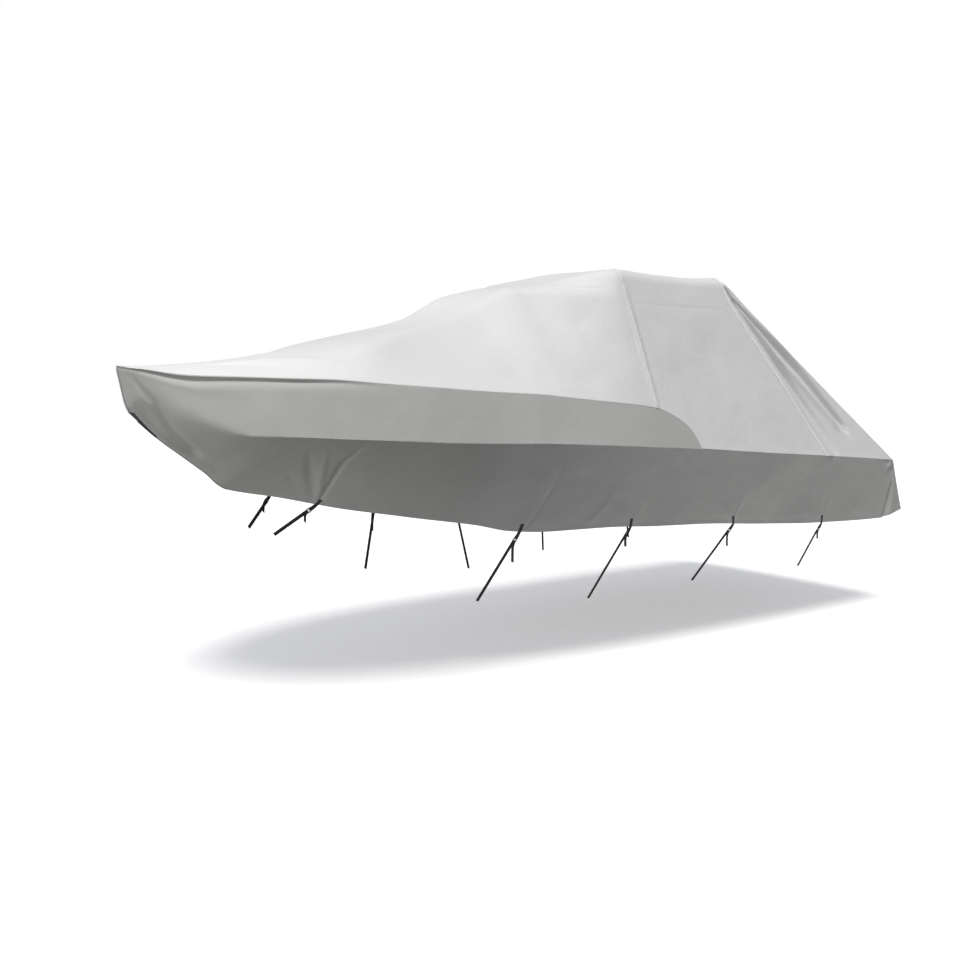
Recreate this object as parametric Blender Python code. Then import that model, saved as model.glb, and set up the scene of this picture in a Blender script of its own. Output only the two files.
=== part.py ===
"""A sewn boat cover of coated cloth, hollow below, with welted seams and webbing straps.

X runs along the cover, bow at -X and stern at +X, port at -Y, and Z is up. The origin is on the
centre line, just under the cloth of the middle top panel, where the cover is held up.
The tables hold metres: aft of the bow tip, out from the centre line, and up from the ground.
"""
import bmesh
import bpy
import numpy as np

CLOTH = 0.0024              # thickness of the coated cloth
SEAM_PULL = 0.0002          # each panel ends this far short of the line that it shares
LEAST_SQUARE = 0.6          # keeps the cloth from thickening too far at sharp corners
HEM_FOLD = 0.030            # height of the turned hem
HEM_STEP = 0.006            # height over which the turned hem thins to one layer
HEM_EXTRA = 0.0015          # how far the turned hem stands out
ORIGIN = (3.90, 0.0, 2.82)  # the frame's origin, in the tables' measures

WELT_WIDTH = 0.020
WELT_HEIGHT = 0.0045
BINDING_WIDTH = 0.018
BINDING_HEIGHT = 0.0012
TRIM_GAP = 0.0022           # clear space between the cloth and the trim on it
BINDING_GAP = 0.0026        # the same at the stem, where the cloth twists most

WEBBING_WIDTH = 0.025
WEBBING = 0.0014            # thickness of the webbing
TAB_UP = 0.060              # how far a strap's tab reaches up the cloth
TAB_GAP = 0.0045            # clear space between the turned hem and the tab
BUCKLE_DROP = 0.050         # hem to the buckle's top bar
BUCKLE_SIDES = (0.0035, 0.0275, 0.0035)
BUCKLE_BARS = (0.0040, 0.0060, 0.0045, 0.0060, 0.0040)
BUCKLE_THICKNESS = 0.0036

# The cover's lines at each section. The hem is the lower edge, the rail is the long crease down
# the side, the edge is the seam where the light top starts, the shoulder and the brow are the two
# soft bends into the roof, and the ridge is the centre line. Steps are the strips of cloth since
# the section before.
#  name         steps  hem                    rail                   edge
#               shoulder               brow                   ridge
SECTIONS = (
    ("nose", 0, (0.056, 0.000, 1.794), (0.030, 0.000, 1.850), (-0.015, 0.000, 2.078),
     (-0.015, 0.000, 2.078), (-0.015, 0.000, 2.078), (-0.015, 0.000, 2.078)),
    ("snout", 2, (0.150, 0.000, 1.700), (0.115, 0.120, 1.872), (0.100, 0.130, 2.058),
     (0.090, 0.080, 2.066), (0.085, 0.040, 2.073), (0.080, 0.000, 2.078)),
    ("prow", 3, (0.300, 0.000, 1.575), (0.300, 0.420, 1.748), (0.300, 0.370, 2.022),
     (0.290, 0.240, 2.055), (0.290, 0.120, 2.080), (0.290, 0.000, 2.088)),
    ("forefoot", 3, (0.500, 0.000, 1.423), (0.530, 0.630, 1.667), (0.520, 0.565, 2.014),
     (0.500, 0.380, 2.062), (0.500, 0.200, 2.095), (0.500, 0.000, 2.106)),
    ("hem start", 3, (0.660, 0.000, 1.298), (0.787, 0.802, 1.658), (0.780, 0.730, 2.003),
     (0.780, 0.500, 2.085), (0.780, 0.250, 2.130), (0.780, 0.000, 2.143)),
    ("fore slope", 3, (0.930, 0.170, 1.243), (1.000, 0.895, 1.645), (1.000, 0.820, 1.994),
     (1.000, 0.580, 2.130), (1.000, 0.300, 2.172), (1.000, 0.000, 2.185)),
    ("slope foot", 3, (1.220, 0.436, 1.177), (1.300, 1.005, 1.630), (1.300, 0.920, 1.968),
     (1.300, 0.620, 2.215), (1.300, 0.330, 2.245), (1.300, 0.000, 2.253)),
    ("first rise", 3, (1.665, 0.726, 1.102), (1.700, 1.100, 1.606), (1.700, 1.000, 1.938),
     (1.680, 0.500, 2.318), (1.680, 0.280, 2.336), (1.680, 0.000, 2.345)),
    ("low roof", 2, (2.000, 0.860, 1.050), (2.050, 1.140, 1.593), (2.050, 1.030, 1.917),
     (2.050, 0.400, 2.412), (2.050, 0.210, 2.426), (2.050, 0.000, 2.450)),
    ("second rise", 2, (2.250, 0.930, 0.995), (2.350, 1.175, 1.585), (2.350, 1.048, 1.903),
     (2.300, 0.380, 2.492), (2.300, 0.190, 2.538), (2.300, 0.000, 2.590)),
    ("step top", 3, (2.550, 1.000, 0.976), (2.700, 1.187, 1.567), (2.700, 1.065, 1.873),
     (2.670, 0.450, 2.658), (2.660, 0.240, 2.668), (2.650, 0.000, 2.676)),
    ("high roof", 2, (2.950, 1.060, 0.975), (3.000, 1.195, 1.550), (3.000, 1.080, 1.846),
     (2.950, 0.620, 2.655), (2.960, 0.400, 2.720), (2.970, 0.000, 2.734)),
    ("front seam", 3, (3.460, 1.113, 0.950), (3.450, 1.200, 1.522), (3.430, 1.110, 1.797),
     (3.370, 0.835, 2.620), (3.380, 0.770, 2.806), (3.380, 0.000, 2.830)),
    ("sweep 1", 1, (3.630, 1.120, 0.943), (3.620, 1.200, 1.512), (3.600, 1.128, 1.735),
     (3.530, 0.835, 2.605), (3.510, 0.765, 2.810), (3.510, 0.000, 2.834)),
    ("sweep 2", 1, (3.780, 1.128, 0.937), (3.750, 1.200, 1.503), (3.740, 1.158, 1.640),
     (3.660, 0.835, 2.603), (3.640, 0.760, 2.803), (3.640, 0.000, 2.830)),
    ("sweep 3", 1, (3.830, 1.130, 0.935), (3.795, 1.200, 1.501), (3.790, 1.181, 1.562),
     (3.720, 0.835, 2.603), (3.700, 0.760, 2.801), (3.700, 0.000, 2.828)),
    ("sweep end", 1, (3.860, 1.131, 0.934), (3.820, 1.200, 1.499), (3.820, 1.200, 1.499),
     (3.760, 0.835, 2.603), (3.740, 0.760, 2.800), (3.740, 0.000, 2.826)),
    ("mid panel", 3, (4.600, 1.150, 0.880), (4.550, 1.200, 1.441), (4.550, 1.200, 1.441),
     (4.150, 0.835, 2.603), (4.120, 0.760, 2.794), (4.120, 0.000, 2.820)),
    ("rear seam", 4, (5.330, 1.155, 0.831), (5.356, 1.196, 1.384), (5.356, 1.196, 1.384),
     (4.530, 0.835, 2.600), (4.465, 0.775, 2.811), (4.450, 0.000, 2.836)),
    ("quarter", 8, (6.250, 1.163, 0.802), (6.130, 1.182, 1.325), (6.130, 1.182, 1.325),
     (4.678, 0.827, 2.600), (4.465, 0.775, 2.811), (4.450, 0.000, 2.836)),
    ("stern", 2, (6.530, 1.165, 0.857), (6.350, 1.180, 1.308), (6.350, 1.180, 1.308),
     (4.720, 0.825, 2.600), (4.465, 0.775, 2.811), (4.450, 0.000, 2.836)),
)

# Rows of cloth up each section, as fractions of the way from one line to the next.
SKIRT_ROWS = (0.34, 0.67, 1.0)
BAND_ROWS = (0.35, 0.70, 0.91, 1.0)
WALL_ROWS = (0.25, 0.50, 0.75, 1.0)
BEND_ROWS = 2
ROOF_ROWS = (0.30, 0.65, 1.0)
BEND_REACH = 0.38           # a soft bend takes this share of the shorter leg beside it

# Folds across the sides, seen from the side: where each starts and ends, how wide and deep it
# is there, and how much of it shows on the port and on the starboard side. A depth below zero
# stands out as a ridge.
#  name            start x, z      end x, z        widths         depths          port  starboard
FOLDS = (
    ("bow valley", (0.085, 1.970), (0.360, 1.560), (0.026, 0.060), (0.010, 0.022), 1.0, 0.8),
    ("seam groove", (0.160, 2.010), (1.000, 1.965), (0.020, 0.030), (0.012, 0.006), 1.0, 1.0),
    ("gusset valley 1", (4.625, 2.540), (5.450, 1.500), (0.022, 0.050), (0.020, 0.030), 1.0, 0.8),
    ("gusset ridge", (4.680, 2.520), (5.640, 1.620), (0.022, 0.060), (-0.008, -0.022), 1.0, 1.1),
    ("gusset valley 2", (4.700, 2.560), (5.720, 1.700), (0.022, 0.045), (0.022, 0.024), 1.0, 1.2),
)

TRANSOM_BULGE = 0.050       # how far the transom's cloth bows aft in the middle
TRANSOM_CROWN = 0.020       # how far its top edge rises in the middle
REAR_SAG = 0.030            # how far the rear panel sags between the welt and the transom

# Straps: where each leaves the hem, where its far end is (port side; y is out from the centre
# line), and the length of its free tail.
#  hem x   far end x, y, z         tail
STRAPS = (
    (1.120, (0.890, 0.200, 1.005), 0.060),
    (2.310, (2.103, 0.750, 0.512), 0.130),
    (3.200, (3.116, 0.750, 0.404), 0.070),
    (4.250, (4.070, 0.900, 0.450), 0.100),
    (5.360, (5.270, 1.000, 0.450), 0.060),
)

LINES = ("hem", "rail", "edge", "shoulder", "brow", "ridge")
SIDES = (("port", -1.0), ("starboard", 1.0))
ROW_RAIL = 2 + len(SKIRT_ROWS)
ROW_EDGE = ROW_RAIL + len(BAND_ROWS)
ROW_CORNER = ROW_EDGE + len(WALL_ROWS) + BEND_ROWS + 2     # the rear panel's upper corners


def section_number(name):
    """The station, counted in strips of cloth from the nose, at which a section stands."""
    total = 0
    for row in SECTIONS:
        total += row[1]
        if row[0] == name:
            return total
    raise ValueError(name)


def smooth_slopes(at, values):
    """Slopes of a smooth curve through the values that never swings past them."""
    steps = np.diff(at)
    rises = np.diff(values, axis=0) / steps[:, None]
    slopes = np.zeros_like(values)
    slopes[0], slopes[-1] = rises[0], rises[-1]
    for i in range(1, len(at) - 1):
        before, after = rises[i - 1], rises[i]
        near, far = 2 * steps[i] + steps[i - 1], steps[i] + 2 * steps[i - 1]
        same_way = before * after > 0
        mean = (near + far) / (near / np.where(same_way, before, 1.0) + far / np.where(same_way, after, 1.0))
        slopes[i] = np.where(same_way, mean, 0.0)
    return slopes


def station_lines():
    """The six lines, in LINES order, at every station: an array (stations, lines, xyz)."""
    lines = np.array([row[2:] for row in SECTIONS], dtype=float)
    rail = lines[:, LINES.index("rail")]
    at = np.concatenate(([0.0], np.cumsum(np.linalg.norm(np.diff(rail, axis=0), axis=1))))
    values = lines.reshape(len(SECTIONS), -1)
    slopes = smooth_slopes(at, values)
    stations = [values[0]]
    for i in range(1, len(SECTIONS)):
        steps = SECTIONS[i][1]
        length = at[i] - at[i - 1]
        for k in range(1, steps + 1):
            t = k / steps
            leave = (1 + 2 * t) * (1 - t) ** 2 * values[i - 1] + t * (1 - t) ** 2 * length * slopes[i - 1]
            arrive = t * t * (3 - 2 * t) * values[i] + t * t * (t - 1) * length * slopes[i]
            stations.append(leave + arrive)
    stations = np.array(stations).reshape(len(stations), len(LINES), 3)
    pinch = section_number("sweep end")
    stations[pinch:, LINES.index("edge")] = stations[pinch:, LINES.index("rail")]
    return stations


def bend(before, corner, after, reach):
    """A soft bend at a corner between two legs: its points from one leg to the other."""
    start = corner + (before - corner) * reach / max(np.linalg.norm(before - corner), 1e-6)
    end = corner + (after - corner) * reach / max(np.linalg.norm(after - corner), 1e-6)
    points = []
    for k in range(BEND_ROWS + 1):
        t = k / BEND_ROWS
        points.append((1 - t) ** 2 * start + 2 * t * (1 - t) * corner + t * t * end)
    return points


def section_points(lines):
    """One section's points from the hem up to the ridge, with y measured outwards."""
    hem, rail, edge, shoulder, brow, ridge = lines
    height = np.linalg.norm(rail - hem)
    up = (rail - hem) / height
    fold, step = min(HEM_FOLD, 0.25 * height), min(HEM_STEP, 0.1 * height)
    points = [hem, hem + up * fold, hem + up * (fold + step)]
    points += [points[2] + (rail - points[2]) * share for share in SKIRT_ROWS]
    points += [rail + (edge - rail) * share for share in BAND_ROWS]
    legs = [np.linalg.norm(b - a) for a, b in ((edge, shoulder), (shoulder, brow), (brow, ridge))]
    low = bend(edge, shoulder, brow, BEND_REACH * min(legs[0], legs[1]))
    high = bend(shoulder, brow, ridge, BEND_REACH * min(legs[1], legs[2]))
    points += [edge + (low[0] - edge) * share for share in WALL_ROWS]
    points += low[1:] + high
    points += [high[-1] + (ridge - high[-1]) * share for share in ROOF_ROWS]
    return points


def side_grid(side):
    """The cloth of one side as a grid of points (stations, rows, xyz), in the part's frame."""
    grid = np.array([section_points(lines) for lines in station_lines()])
    rear = section_number("rear seam")
    grid[rear:, ROW_CORNER:] = grid[rear, ROW_CORNER:]
    grid[:, :, 1] *= side
    return grid - ORIGIN


def sheet_between(low, high, left, right, sag):
    """A sheet between four edges: rows run from low to high, columns from left to right."""
    sheet = np.zeros((len(left), len(low), 3))
    for j in range(len(left)):
        rise = np.linalg.norm(left[j] - left[0]) / np.linalg.norm(left[-1] - left[0])
        for k in range(len(low)):
            across = k / (len(low) - 1)
            between = (1 - rise) * low[k] + rise * high[k]
            from_left = left[j] - ((1 - rise) * low[0] + rise * high[0])
            from_right = right[j] - ((1 - rise) * low[-1] + rise * high[-1])
            sheet[j, k] = between + (1 - across) * from_left + across * from_right
            sheet[j, k, 2] -= sag * np.sin(np.pi * rise) * np.sin(np.pi * across)
    return sheet


def face_normal(points, face):
    """A face's normal, whose length is twice the face's area."""
    a, b, c = (points[number] for number in face)
    return np.cross(b - a, c - a)


def unit(vector):
    return vector / max(np.linalg.norm(vector), 1e-12)


class Cloth:
    """The cover's outer surface: points shared by the panels, and the faces of each panel."""

    def __init__(self):
        self.points = []
        self.numbers = {}
        self.panels = {}
        self.hem = set()
        self.out = None             # outward normals at the points
        self.square = None          # how squarely each normal stands on the faces around it

    def lay(self, grid):
        """Give each point of a grid its number. Points in one place share a number."""
        laid = np.zeros(grid.shape[:2], dtype=int)
        for i in range(grid.shape[0]):
            for j in range(grid.shape[1]):
                key = tuple(np.round(grid[i, j], 6) + 0.0)
                if key not in self.numbers:
                    self.numbers[key] = len(self.points)
                    self.points.append(grid[i, j].copy())
                laid[i, j] = self.numbers[key]
        return laid

    def cut(self, panel, laid, flip):
        """Give a panel the cells of a grid, as triangles. Cells that pinch out are left out."""
        faces = self.panels.setdefault(panel, [])
        for i in range(laid.shape[0] - 1):
            for j in range(laid.shape[1] - 1):
                a, b, c, d = laid[i, j], laid[i + 1, j], laid[i + 1, j + 1], laid[i, j + 1]
                for face in ([a, b, c], [a, c, d]):
                    face = [int(number) for number in (face[::-1] if flip else face)]
                    if len(set(face)) == 3:
                        faces.append(face)

    def find_normals(self):
        """Outward normals at the points: each face counts by its angle at the point."""
        points = np.array(self.points)
        faces = np.array([face for panel in self.panels.values() for face in panel])
        total, weight = np.zeros_like(points), np.zeros(len(points))
        for k in range(3):
            own, after, before = (points[faces[:, (k + turn) % 3]] for turn in range(3))
            ahead, back = after - own, before - own
            across = np.cross(ahead, back)
            size = np.linalg.norm(across, axis=1)
            angle = np.arctan2(size, np.sum(ahead * back, axis=1))
            np.add.at(total, faces[:, k], across * (angle / np.maximum(size, 1e-15))[:, None])
            np.add.at(weight, faces[:, k], angle)
        length = np.linalg.norm(total, axis=1)
        self.out = total / np.maximum(length, 1e-12)[:, None]
        self.square = np.maximum(length / np.maximum(weight, 1e-12), LEAST_SQUARE)


def fold_depth(point, normal):
    """How far the folds draw a point of the side's cloth in."""
    x, z = point[0] + ORIGIN[0], point[2] + ORIGIN[2]
    total = 0.0
    for _, start, end, widths, depths, port, starboard in FOLDS:
        run = np.subtract(end, start)
        along = np.dot(np.subtract((x, z), start), run) / np.dot(run, run)
        along = min(max(along, 0.0), 1.0)
        off = np.linalg.norm(np.subtract((x, z), np.add(start, run * along)))
        width = widths[0] + (widths[1] - widths[0]) * along
        depth = depths[0] + (depths[1] - depths[0]) * along
        total += depth * np.exp(-(off / width) ** 2) * (port if point[1] < 0 else starboard)
    return total * min(1.0, abs(normal[1]) / 0.4)


def lay_out_cloth():
    """Every panel on the cover's lines, with the folds pressed in, and the numbered grids."""
    cloth = Cloth()
    front, rear = section_number("front seam"), section_number("rear seam")
    foot = section_number("hem start")
    grids, laid = {}, {}
    for name, side in SIDES:
        grids[name] = side_grid(side)
        laid[name] = cloth.lay(grids[name])
        flip = side > 0
        cloth.cut("side_" + name, laid[name][:, :ROW_EDGE + 1], flip)
        cloth.cut("top_front", laid[name][:front + 1, ROW_EDGE:], flip)
        cloth.cut("top_middle", laid[name][front:rear + 1, ROW_EDGE:], flip)
        cloth.cut("top_rear", laid[name][rear:, ROW_EDGE:], flip)
        cloth.hem.update(laid[name][foot + 1:, :2].ravel().tolist())
    port, starboard = grids["port"][-1], grids["starboard"][-1]
    roof = np.concatenate((port[ROW_CORNER:], starboard[ROW_CORNER:-1][::-1]))
    spread = roof[:, 1] / abs(roof[0, 1])
    middle = 1 - spread ** 2
    top, hem = np.tile(port[ROW_RAIL], (len(roof), 1)), np.tile(port[0], (len(roof), 1))
    for edge in (top, hem):
        edge[:, 1] *= -spread
        edge[:, 0] += TRANSOM_BULGE * middle
    top[:, 2] += TRANSOM_CROWN * middle
    gusset = slice(ROW_EDGE, ROW_CORNER + 1)
    skirt = slice(0, ROW_RAIL + 1)
    laid["rear"] = cloth.lay(sheet_between(top, roof, port[gusset], starboard[gusset], REAR_SAG))
    laid["transom"] = cloth.lay(sheet_between(hem, top, port[skirt], starboard[skirt], 0.0))
    cloth.cut("top_rear", laid["rear"], True)
    cloth.cut("transom", laid["transom"], True)
    cloth.hem.update(laid["transom"][:2].ravel().tolist())
    cloth.find_normals()
    for i, point in enumerate(cloth.points):
        cloth.points[i] = point - cloth.out[i] * fold_depth(point, cloth.out[i])
    cloth.find_normals()
    return cloth, laid


def open_edges(faces):
    """The edges that only one face has, as (from, to, face) in the face's own order."""
    found = {}
    for face in faces:
        for a, b in zip(face, face[1:] + face[:1]):
            found[(a, b)] = face
    return [(a, b, face) for (a, b), face in found.items() if (b, a) not in found]


def add_object(name, points, faces, material):
    """A named object from points and faces, with its faces turned outwards."""
    mesh = bpy.data.meshes.new(name)
    mesh.from_pydata([tuple(float(c) for c in point) for point in points], [], faces)
    bm = bmesh.new()
    bm.from_mesh(mesh)
    bmesh.ops.recalc_face_normals(bm, faces=bm.faces)
    if bm.calc_volume(signed=True) < 0:
        bmesh.ops.reverse_faces(bm, faces=bm.faces)
    bm.to_mesh(mesh)
    bm.free()
    mesh.shade_smooth()
    mesh.set_sharp_from_angle(angle=np.radians(35))
    mesh.materials.append(material)
    obj = bpy.data.objects.new(name, mesh)
    bpy.context.scene.collection.objects.link(obj)
    return obj


def add_panel(cloth, name, material):
    """One panel as a closed sheet: its outer face, its inner face CLOTH inside, and its rim."""
    faces = cloth.panels[name]
    used = sorted({number for face in faces for number in face})
    place = {number: k for k, number in enumerate(used)}
    pulls = {number: [] for number in used}
    rim = open_edges(faces)
    for a, b, face in rim:
        inward = unit(np.cross(face_normal(cloth.points, face), cloth.points[b] - cloth.points[a]))
        pulls[a].append(inward)
        pulls[b].append(inward)
    outer, inner = [], []
    for number in used:
        point, normal = cloth.points[number].copy(), cloth.out[number]
        if pulls[number]:
            first, last = pulls[number][0], pulls[number][-1]
            point += (first + last) * SEAM_PULL / max(1.0 + float(np.dot(first, last)), 0.3)
        outer.append(point + normal * (HEM_EXTRA if number in cloth.hem else 0.0))
        inner.append(point - normal * CLOTH / cloth.square[number])
    count = len(used)
    sheet = [[place[number] for number in face] for face in faces]
    lining = [[k + count for k in reversed(face)] for face in sheet]
    walls = []
    for a, b, _ in rim:
        corners = [place[b], place[a], place[a] + count, place[b] + count]
        first = 1 if a < b else 0       # neighbours split a shared wall along the same diagonal
        corners = corners[first:] + corners[:first]
        walls += [[corners[0], corners[1], corners[2]], [corners[0], corners[2], corners[3]]]
    add_object(name, outer + inner, sheet + lining + walls, material)


def add_trim(name, path, width, height, gap, material):
    """A raised strip along a sewn line. The path's rows are point, normal and its two sides."""
    points, faces = [], []
    for i, (point, normal, left, right) in enumerate(path):
        along = unit(path[min(i + 1, len(path) - 1)][0] - path[max(i - 1, 0)][0])
        ring = []
        for beside in (left, right):
            out_along_cloth = unit(beside - point)
            off_cloth = unit(np.cross(along, out_along_cloth))
            off_cloth *= 1 if np.dot(off_cloth, normal) > 0 else -1
            low = point + out_along_cloth * width / 2 + off_cloth * gap
            high = point + out_along_cloth * width * 0.3 + off_cloth * (gap + height)
            ring.append((low, high, max(float(np.dot(off_cloth, normal)), 0.35)))
        (left_low, left_high, left_square), (right_low, right_high, right_square) = ring
        mitre = normal / min(left_square, right_square)
        points += [left_low, point + mitre * gap, right_low]
        points += [right_high, point + mitre * (gap + height), left_high]
    for i in range(len(path) - 1):
        for k in range(6):
            turn = (k + 1) % 6
            faces.append([i * 6 + k, i * 6 + turn, i * 6 + 6 + turn, i * 6 + 6 + k])
    faces += [[0, 5, 4, 1], [1, 4, 3, 2]]
    last = len(points) - 6
    faces += [[last, last + 1, last + 4, last + 5], [last + 1, last + 2, last + 3, last + 4]]
    add_object(name, points, faces, material)


def path_rows(cloth, numbers):
    """Trim rows from triples of point numbers: the line's own, left of it and right of it."""
    rows = []
    for own, left, right in numbers:
        rows.append((cloth.points[own], cloth.out[own], cloth.points[left], cloth.points[right]))
    return rows


def add_welts_and_binding(cloth, laid, light, dark):
    """The two raised welts over the top, and the binding down the stem."""
    front, rear = section_number("front seam"), section_number("rear seam")
    foot = section_number("hem start")
    port, starboard = laid["port"], laid["starboard"]
    over = [(port, j) for j in range(ROW_EDGE, port.shape[1])]
    over += [(starboard, j) for j in range(port.shape[1] - 2, ROW_EDGE - 1, -1)]
    numbers = [(grid[front, j], grid[front - 1, j], grid[front + 1, j]) for grid, j in over]
    rows = path_rows(cloth, numbers)
    add_trim("welt_front", rows, WELT_WIDTH, WELT_HEIGHT, TRIM_GAP, light)
    behind = laid["rear"][-2]
    numbers = []
    for grid, j in over:
        after = grid[rear + 1, j]
        if j >= ROW_CORNER:
            k = j - ROW_CORNER
            after = behind[k] if grid is port else behind[-1 - k]
        numbers.append((grid[rear, j], grid[rear - 1, j], after))
    rows = path_rows(cloth, numbers)
    add_trim("welt_rear", rows, WELT_WIDTH, WELT_HEIGHT, TRIM_GAP, light)
    numbers = [(port[i, 0], port[i, 1], starboard[i, 1]) for i in range(foot, 0, -1)]
    numbers += [(port[0, j], port[1, j + 1], starboard[1, j + 1]) for j in range(ROW_EDGE)]
    rows = path_rows(cloth, numbers)
    add_trim("stem_binding", rows, BINDING_WIDTH, BINDING_HEIGHT, BINDING_GAP, dark)


def add_ribbon(name, path, across, material):
    """A strip of webbing along a path of points; across gives its width's direction at each."""
    points, faces = [], []
    for i, point in enumerate(path):
        along = unit(path[min(i + 1, len(path) - 1)] - path[max(i - 1, 0)])
        wide = unit(across[i] - along * np.dot(across[i], along))
        thick = np.cross(along, wide)
        for u, v in ((-1, -1), (1, -1), (1, 1), (-1, 1)):
            points.append(point + wide * WEBBING_WIDTH / 2 * u + thick * WEBBING / 2 * v)
    for i in range(len(path) - 1):
        for k in range(4):
            turn = (k + 1) % 4
            faces.append([i * 4 + k, i * 4 + turn, i * 4 + 4 + turn, i * 4 + 4 + k])
    faces += [[0, 3, 2, 1], [len(points) - 4 + k for k in range(4)]]
    add_object(name, points, faces, material)


def add_buckle(name, centre, across, down, out, material):
    """A flat buckle with two slots; centre is the middle of its top bar."""
    wide = np.concatenate(([0.0], np.cumsum(BUCKLE_SIDES))) - sum(BUCKLE_SIDES) / 2
    tall = np.concatenate(([0.0], np.cumsum(BUCKLE_BARS))) - BUCKLE_BARS[0] / 2
    points, faces = [], []
    for level in (BUCKLE_THICKNESS / 2, -BUCKLE_THICKNESS / 2):
        for v in tall:
            points += [centre + across * u + down * v + out * level for u in wide]
    per_row, per_level = len(wide), len(wide) * len(tall)
    solid = [(i, j) for j in range(len(tall) - 1) for i in range(len(wide) - 1)]
    solid = [(i, j) for i, j in solid if i != 1 or j % 2 == 0]
    for i, j in solid:
        face = [j * per_row + i, j * per_row + i + 1, (j + 1) * per_row + i + 1, (j + 1) * per_row + i]
        faces += [face, [k + per_level for k in reversed(face)]]
    for a, b, _ in open_edges(faces[::2]):
        faces.append([b, a, a + per_level, b + per_level])
    used = sorted({k for face in faces for k in face})
    place = {k: n for n, k in enumerate(used)}
    faces = [[place[k] for k in face] for face in faces]
    add_object(name, [points[k] for k in used], faces, material)


def add_strap(cloth, grid, side_name, side, number, row, webbing, plastic):
    """One strap with its sewn tab and its buckle."""
    hem_x, far_end, tail = row
    x = hem_x - ORIGIN[0]
    xs = [cloth.points[k][0] for k in grid[:, 0]]
    i = max(k for k in range(len(xs) - 1) if xs[k] <= x)
    share = (x - xs[i]) / (xs[i + 1] - xs[i])
    hem, above = (cloth.points[grid[i, j]] * (1 - share) + cloth.points[grid[i + 1, j]] * share
                  for j in (0, 1))
    hem_run = unit(cloth.points[grid[i + 1, 0]] - cloth.points[grid[i, 0]])
    outward = unit(cloth.out[grid[i, 0]] * (1 - share) + cloth.out[grid[i + 1, 0]] * share)
    up = unit(above - hem)
    start = hem + outward * (HEM_EXTRA + TAB_GAP + WEBBING / 2)
    end = np.array(far_end) * (1, side, 1) - ORIGIN
    down = unit(end - start)
    across = unit(np.cross((0.0, side, 0.0), down))
    across *= 1 if across[0] > 0 else -1
    out = np.cross(across, down)
    out *= 1 if out[1] * side > 0 else -1
    centre = start + down * BUCKLE_DROP
    reach = BUCKLE_THICKNESS / 2 + WEBBING / 2 + TRIM_GAP
    turn = reach * 0.86
    name = "%s_%d" % (side_name, number)

    def at(v, level):
        return centre + down * v + out * level

    tab = [start + up * TAB_UP, start + up * TAB_UP / 2, start, at(-0.016, reach), at(0, reach),
           at(turn, turn), at(reach, 0), at(turn, -turn), at(0, -reach), at(-0.014, -reach)]
    add_ribbon("tab_" + name, tab, [hem_run] * 3 + [across] * (len(tab) - 3), webbing)
    add_buckle("buckle_" + name, centre, across, down, out, plastic)
    last = sum(BUCKLE_BARS) - BUCKLE_BARS[0] / 2 - BUCKLE_BARS[-1] / 2
    strap = [end, at(last + 0.10, -reach), at(last + 0.02, -reach), at(last, -reach),
             at(last - turn, -turn), at(last - reach, 0), at(last - turn, turn), at(last, reach),
             at(last + 0.010, reach + 0.001)]
    fall = strap[-1] + out * 0.002
    drop = np.array((0.0, 0.0, -1.0))
    strap += [fall + unit(down + drop) * tail * 0.2, fall + unit(down + 3 * drop) * tail * 0.5,
              fall + unit(down + 6 * drop) * tail]
    add_ribbon("strap_" + name, strap, [across] * len(strap), webbing)


def finish(name, colour, roughness):
    """A plain material: colour, roughness, and no metal."""
    material = bpy.data.materials.new(name)
    material.use_nodes = True
    shader = material.node_tree.nodes["Principled BSDF"]
    shader.inputs["Base Color"].default_value = (*colour, 1.0)
    shader.inputs["Roughness"].default_value = roughness
    shader.inputs["Metallic"].default_value = 0.0
    return material


def main():
    for obj in list(bpy.data.objects):
        bpy.data.objects.remove(obj, do_unlink=True)
    light = finish("light_cloth", (0.62, 0.63, 0.62), 0.75)
    dark = finish("dark_cloth", (0.20, 0.20, 0.19), 0.75)
    webbing = finish("webbing", (0.015, 0.015, 0.016), 0.85)
    plastic = finish("buckle_plastic", (0.012, 0.012, 0.013), 0.45)
    cloth, laid = lay_out_cloth()
    for name in cloth.panels:
        add_panel(cloth, name, light if name.startswith("top") else dark)
    add_welts_and_binding(cloth, laid, light, dark)
    for name, side in SIDES:
        for number, row in enumerate(STRAPS, 1):
            add_strap(cloth, laid[name], name, side, number, row, webbing, plastic)


main()
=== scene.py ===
"""A sewn boat cover, drawn tight by its straps: light top panels over dark sides and transom.

Metres. The tables measure aft of the bow tip, out from the centre line and up from the floor,
and ORIGIN is the model's origin in those measures. Port is at -Y, the stern at +X.
"""
import math
import bmesh
import bpy
import numpy as np
from mathutils import Matrix, Vector, noise


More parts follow.
